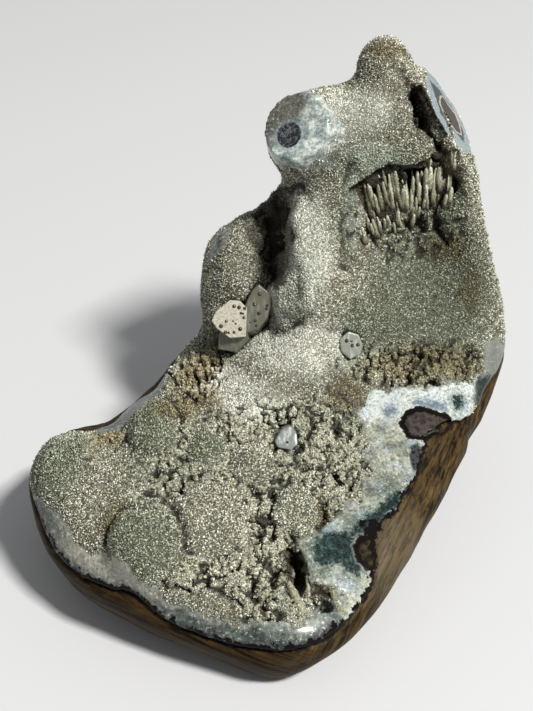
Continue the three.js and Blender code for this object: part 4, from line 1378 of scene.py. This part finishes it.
def bead_finish():
    finish = Finish("rusty_beads")
    return finish.set(Base_Color=finish.clouds(RUST, 0.4, 2.0, 0.5, 0.4, 0.6), Roughness=0.1)


def clear_finish(name, tones, clarity):
    """A crystal that lets some light through, with whitish veils and cracks in it."""
    finish = Finish(name)
    stretched = finish.node(
        "Mapping", {"Vector": finish.place, "Rotation": (0, 0, 0.9), "Scale": (1, 0.25, 1)}
    ).outputs[0]
    cracks = finish.noise(1.0, 4, 0.6, stretched)
    finish.bump(cracks, 0.25, 0.3)
    colour = finish.mix(finish.step(cracks, 0.5, 0.66), *tones)
    return finish.set(Base_Color=colour, Roughness=0.3, IOR=1.535, Transmission_Weight=clarity)


# Stage, light and camera
def build_stage():
    form = bmesh.new()
    bmesh.ops.create_grid(form, x_segments=1, y_segments=1, size=FLOOR_REACH)
    mesh = bpy.data.meshes.new("floor")
    form.to_mesh(mesh)
    form.free()
    mesh.materials.append(Finish("floor").set(Base_Color=FLOOR_GREY, Roughness=0.6))
    placed("floor", mesh)

    world = bpy.data.worlds.new("soft_room")
    bpy.context.scene.world = world
    world.use_nodes = True
    background = world.node_tree.nodes["Background"]
    background.inputs["Color"].default_value = ROOM_COLOUR
    background.inputs["Strength"].default_value = ROOM_STRENGTH


def build_lamp():
    light = bpy.data.lights.new("key", "AREA")
    light.energy = KEY_LAMP["power"]
    light.size = KEY_LAMP["size"]
    light.color = KEY_LAMP["colour"]
    lamp = placed("key", light)
    direction = Vector(direction_from_face(KEY_LAMP["towards"])).normalized()
    lamp.location = Vector(KNEE) * MM + direction * KEY_LAMP["distance"]
    lamp.rotation_euler = direction.to_track_quat("Z", "Y").to_euler()


def build_camera():
    back = Vector((0, -math.cos(VIEW_ELEVATION), math.sin(VIEW_ELEVATION)))
    camera = placed("camera", bpy.data.cameras.new("camera"))
    camera.data.lens = LENS
    camera.data.clip_start = 0.01
    camera.location = Vector(KNEE) * MM + back * VIEW_DISTANCE
    camera.rotation_euler = back.to_track_quat("Z", "Y").to_euler()
    bpy.context.scene.camera = camera


build_camera()
build_stage()
build_lamp()
bpy.context.scene.view_settings.view_transform = "Standard"

# The crust, the basalt, and the knobs and columns that grow on the crust
grain_look = grain_finish()
knob_look = knob_finish()
basalt = build_basalt()
crust = build_crust(basalt)
crust_tree = faces_tree(crust, crust.polygons)
note(basalt, "contact", distance_to(crust_tree, places(basalt)))
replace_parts(make_object("crust", crust, crust_finish()), "jasper_crust")
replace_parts(make_object("basalt", basalt, basalt_finish()), "basalt_matrix")
knobs = build_knobs(crust, crust_tree, knob_look)
columns = build_columns(crust, crust_tree, knob_look)

# Druse grains stand on the open skin of the crust, fewer in its pits and between the lumps.
height = to_face(places(crust))[:, 1]
druse = smoothstep(0.0, 1.0, noted(crust, "polish")) * smoothstep(0.3, 1.0, noted(crust, "contact"))
druse *= (noted(crust, "facing") > -0.35) * np.clip(1.15 - noted(crust, "cavity"), 0.1, 1)
druse *= 1 - 0.8 * noted(crust, "coarse")
lower, upper = DRUSE_SPLITS
middle = (height <= upper) & (height > lower)
grow_grains("druse_top", crust, 100, grain_look, **DRUSE_GRAINS, chance=druse * (height > upper))
grow_grains("druse_middle", crust, 101, grain_look, **DRUSE_GRAINS, chance=druse * middle)
grow_grains("druse_seat", crust, 102, grain_look, **DRUSE_GRAINS, chance=druse * (height <= lower))
grow_grains("knob_grains", knobs.data, 110, grain_look, **KNOB_GRAINS)
grow_grains("column_grains", columns.data, 111, grain_look, **COLUMN_GRAINS)

# The crystals and their beads
build_crystal("cream_crystal", CREAM, cream_finish(), "apophyllite_cluster")
clear = clear_finish("clear_crystal", GLASSY, 0.6)
build_crystal("clear_crystal", CLEAR, clear)
build_crystal("clear_crystal_under", UNDER, clear)
greenish = clear_finish("greenish_crystal", GREENISH, 0.25)
build_crystal("crystal_middle", MIDDLE, greenish, "apophyllite_middle", ease=WORN_EASE)
white = clear_finish("white_crystal", WHITISH, 0.4)
build_crystal("crystal_low", LOW, white, "apophyllite_low", ease=WORN_EASE)
beads = [(CREAM, CREAM_BEADS), (CLEAR, CLEAR_BEADS), (MIDDLE, MIDDLE_BEADS), (LOW, LOW_BEADS)]
build_beads("beads", beads, bead_finish())
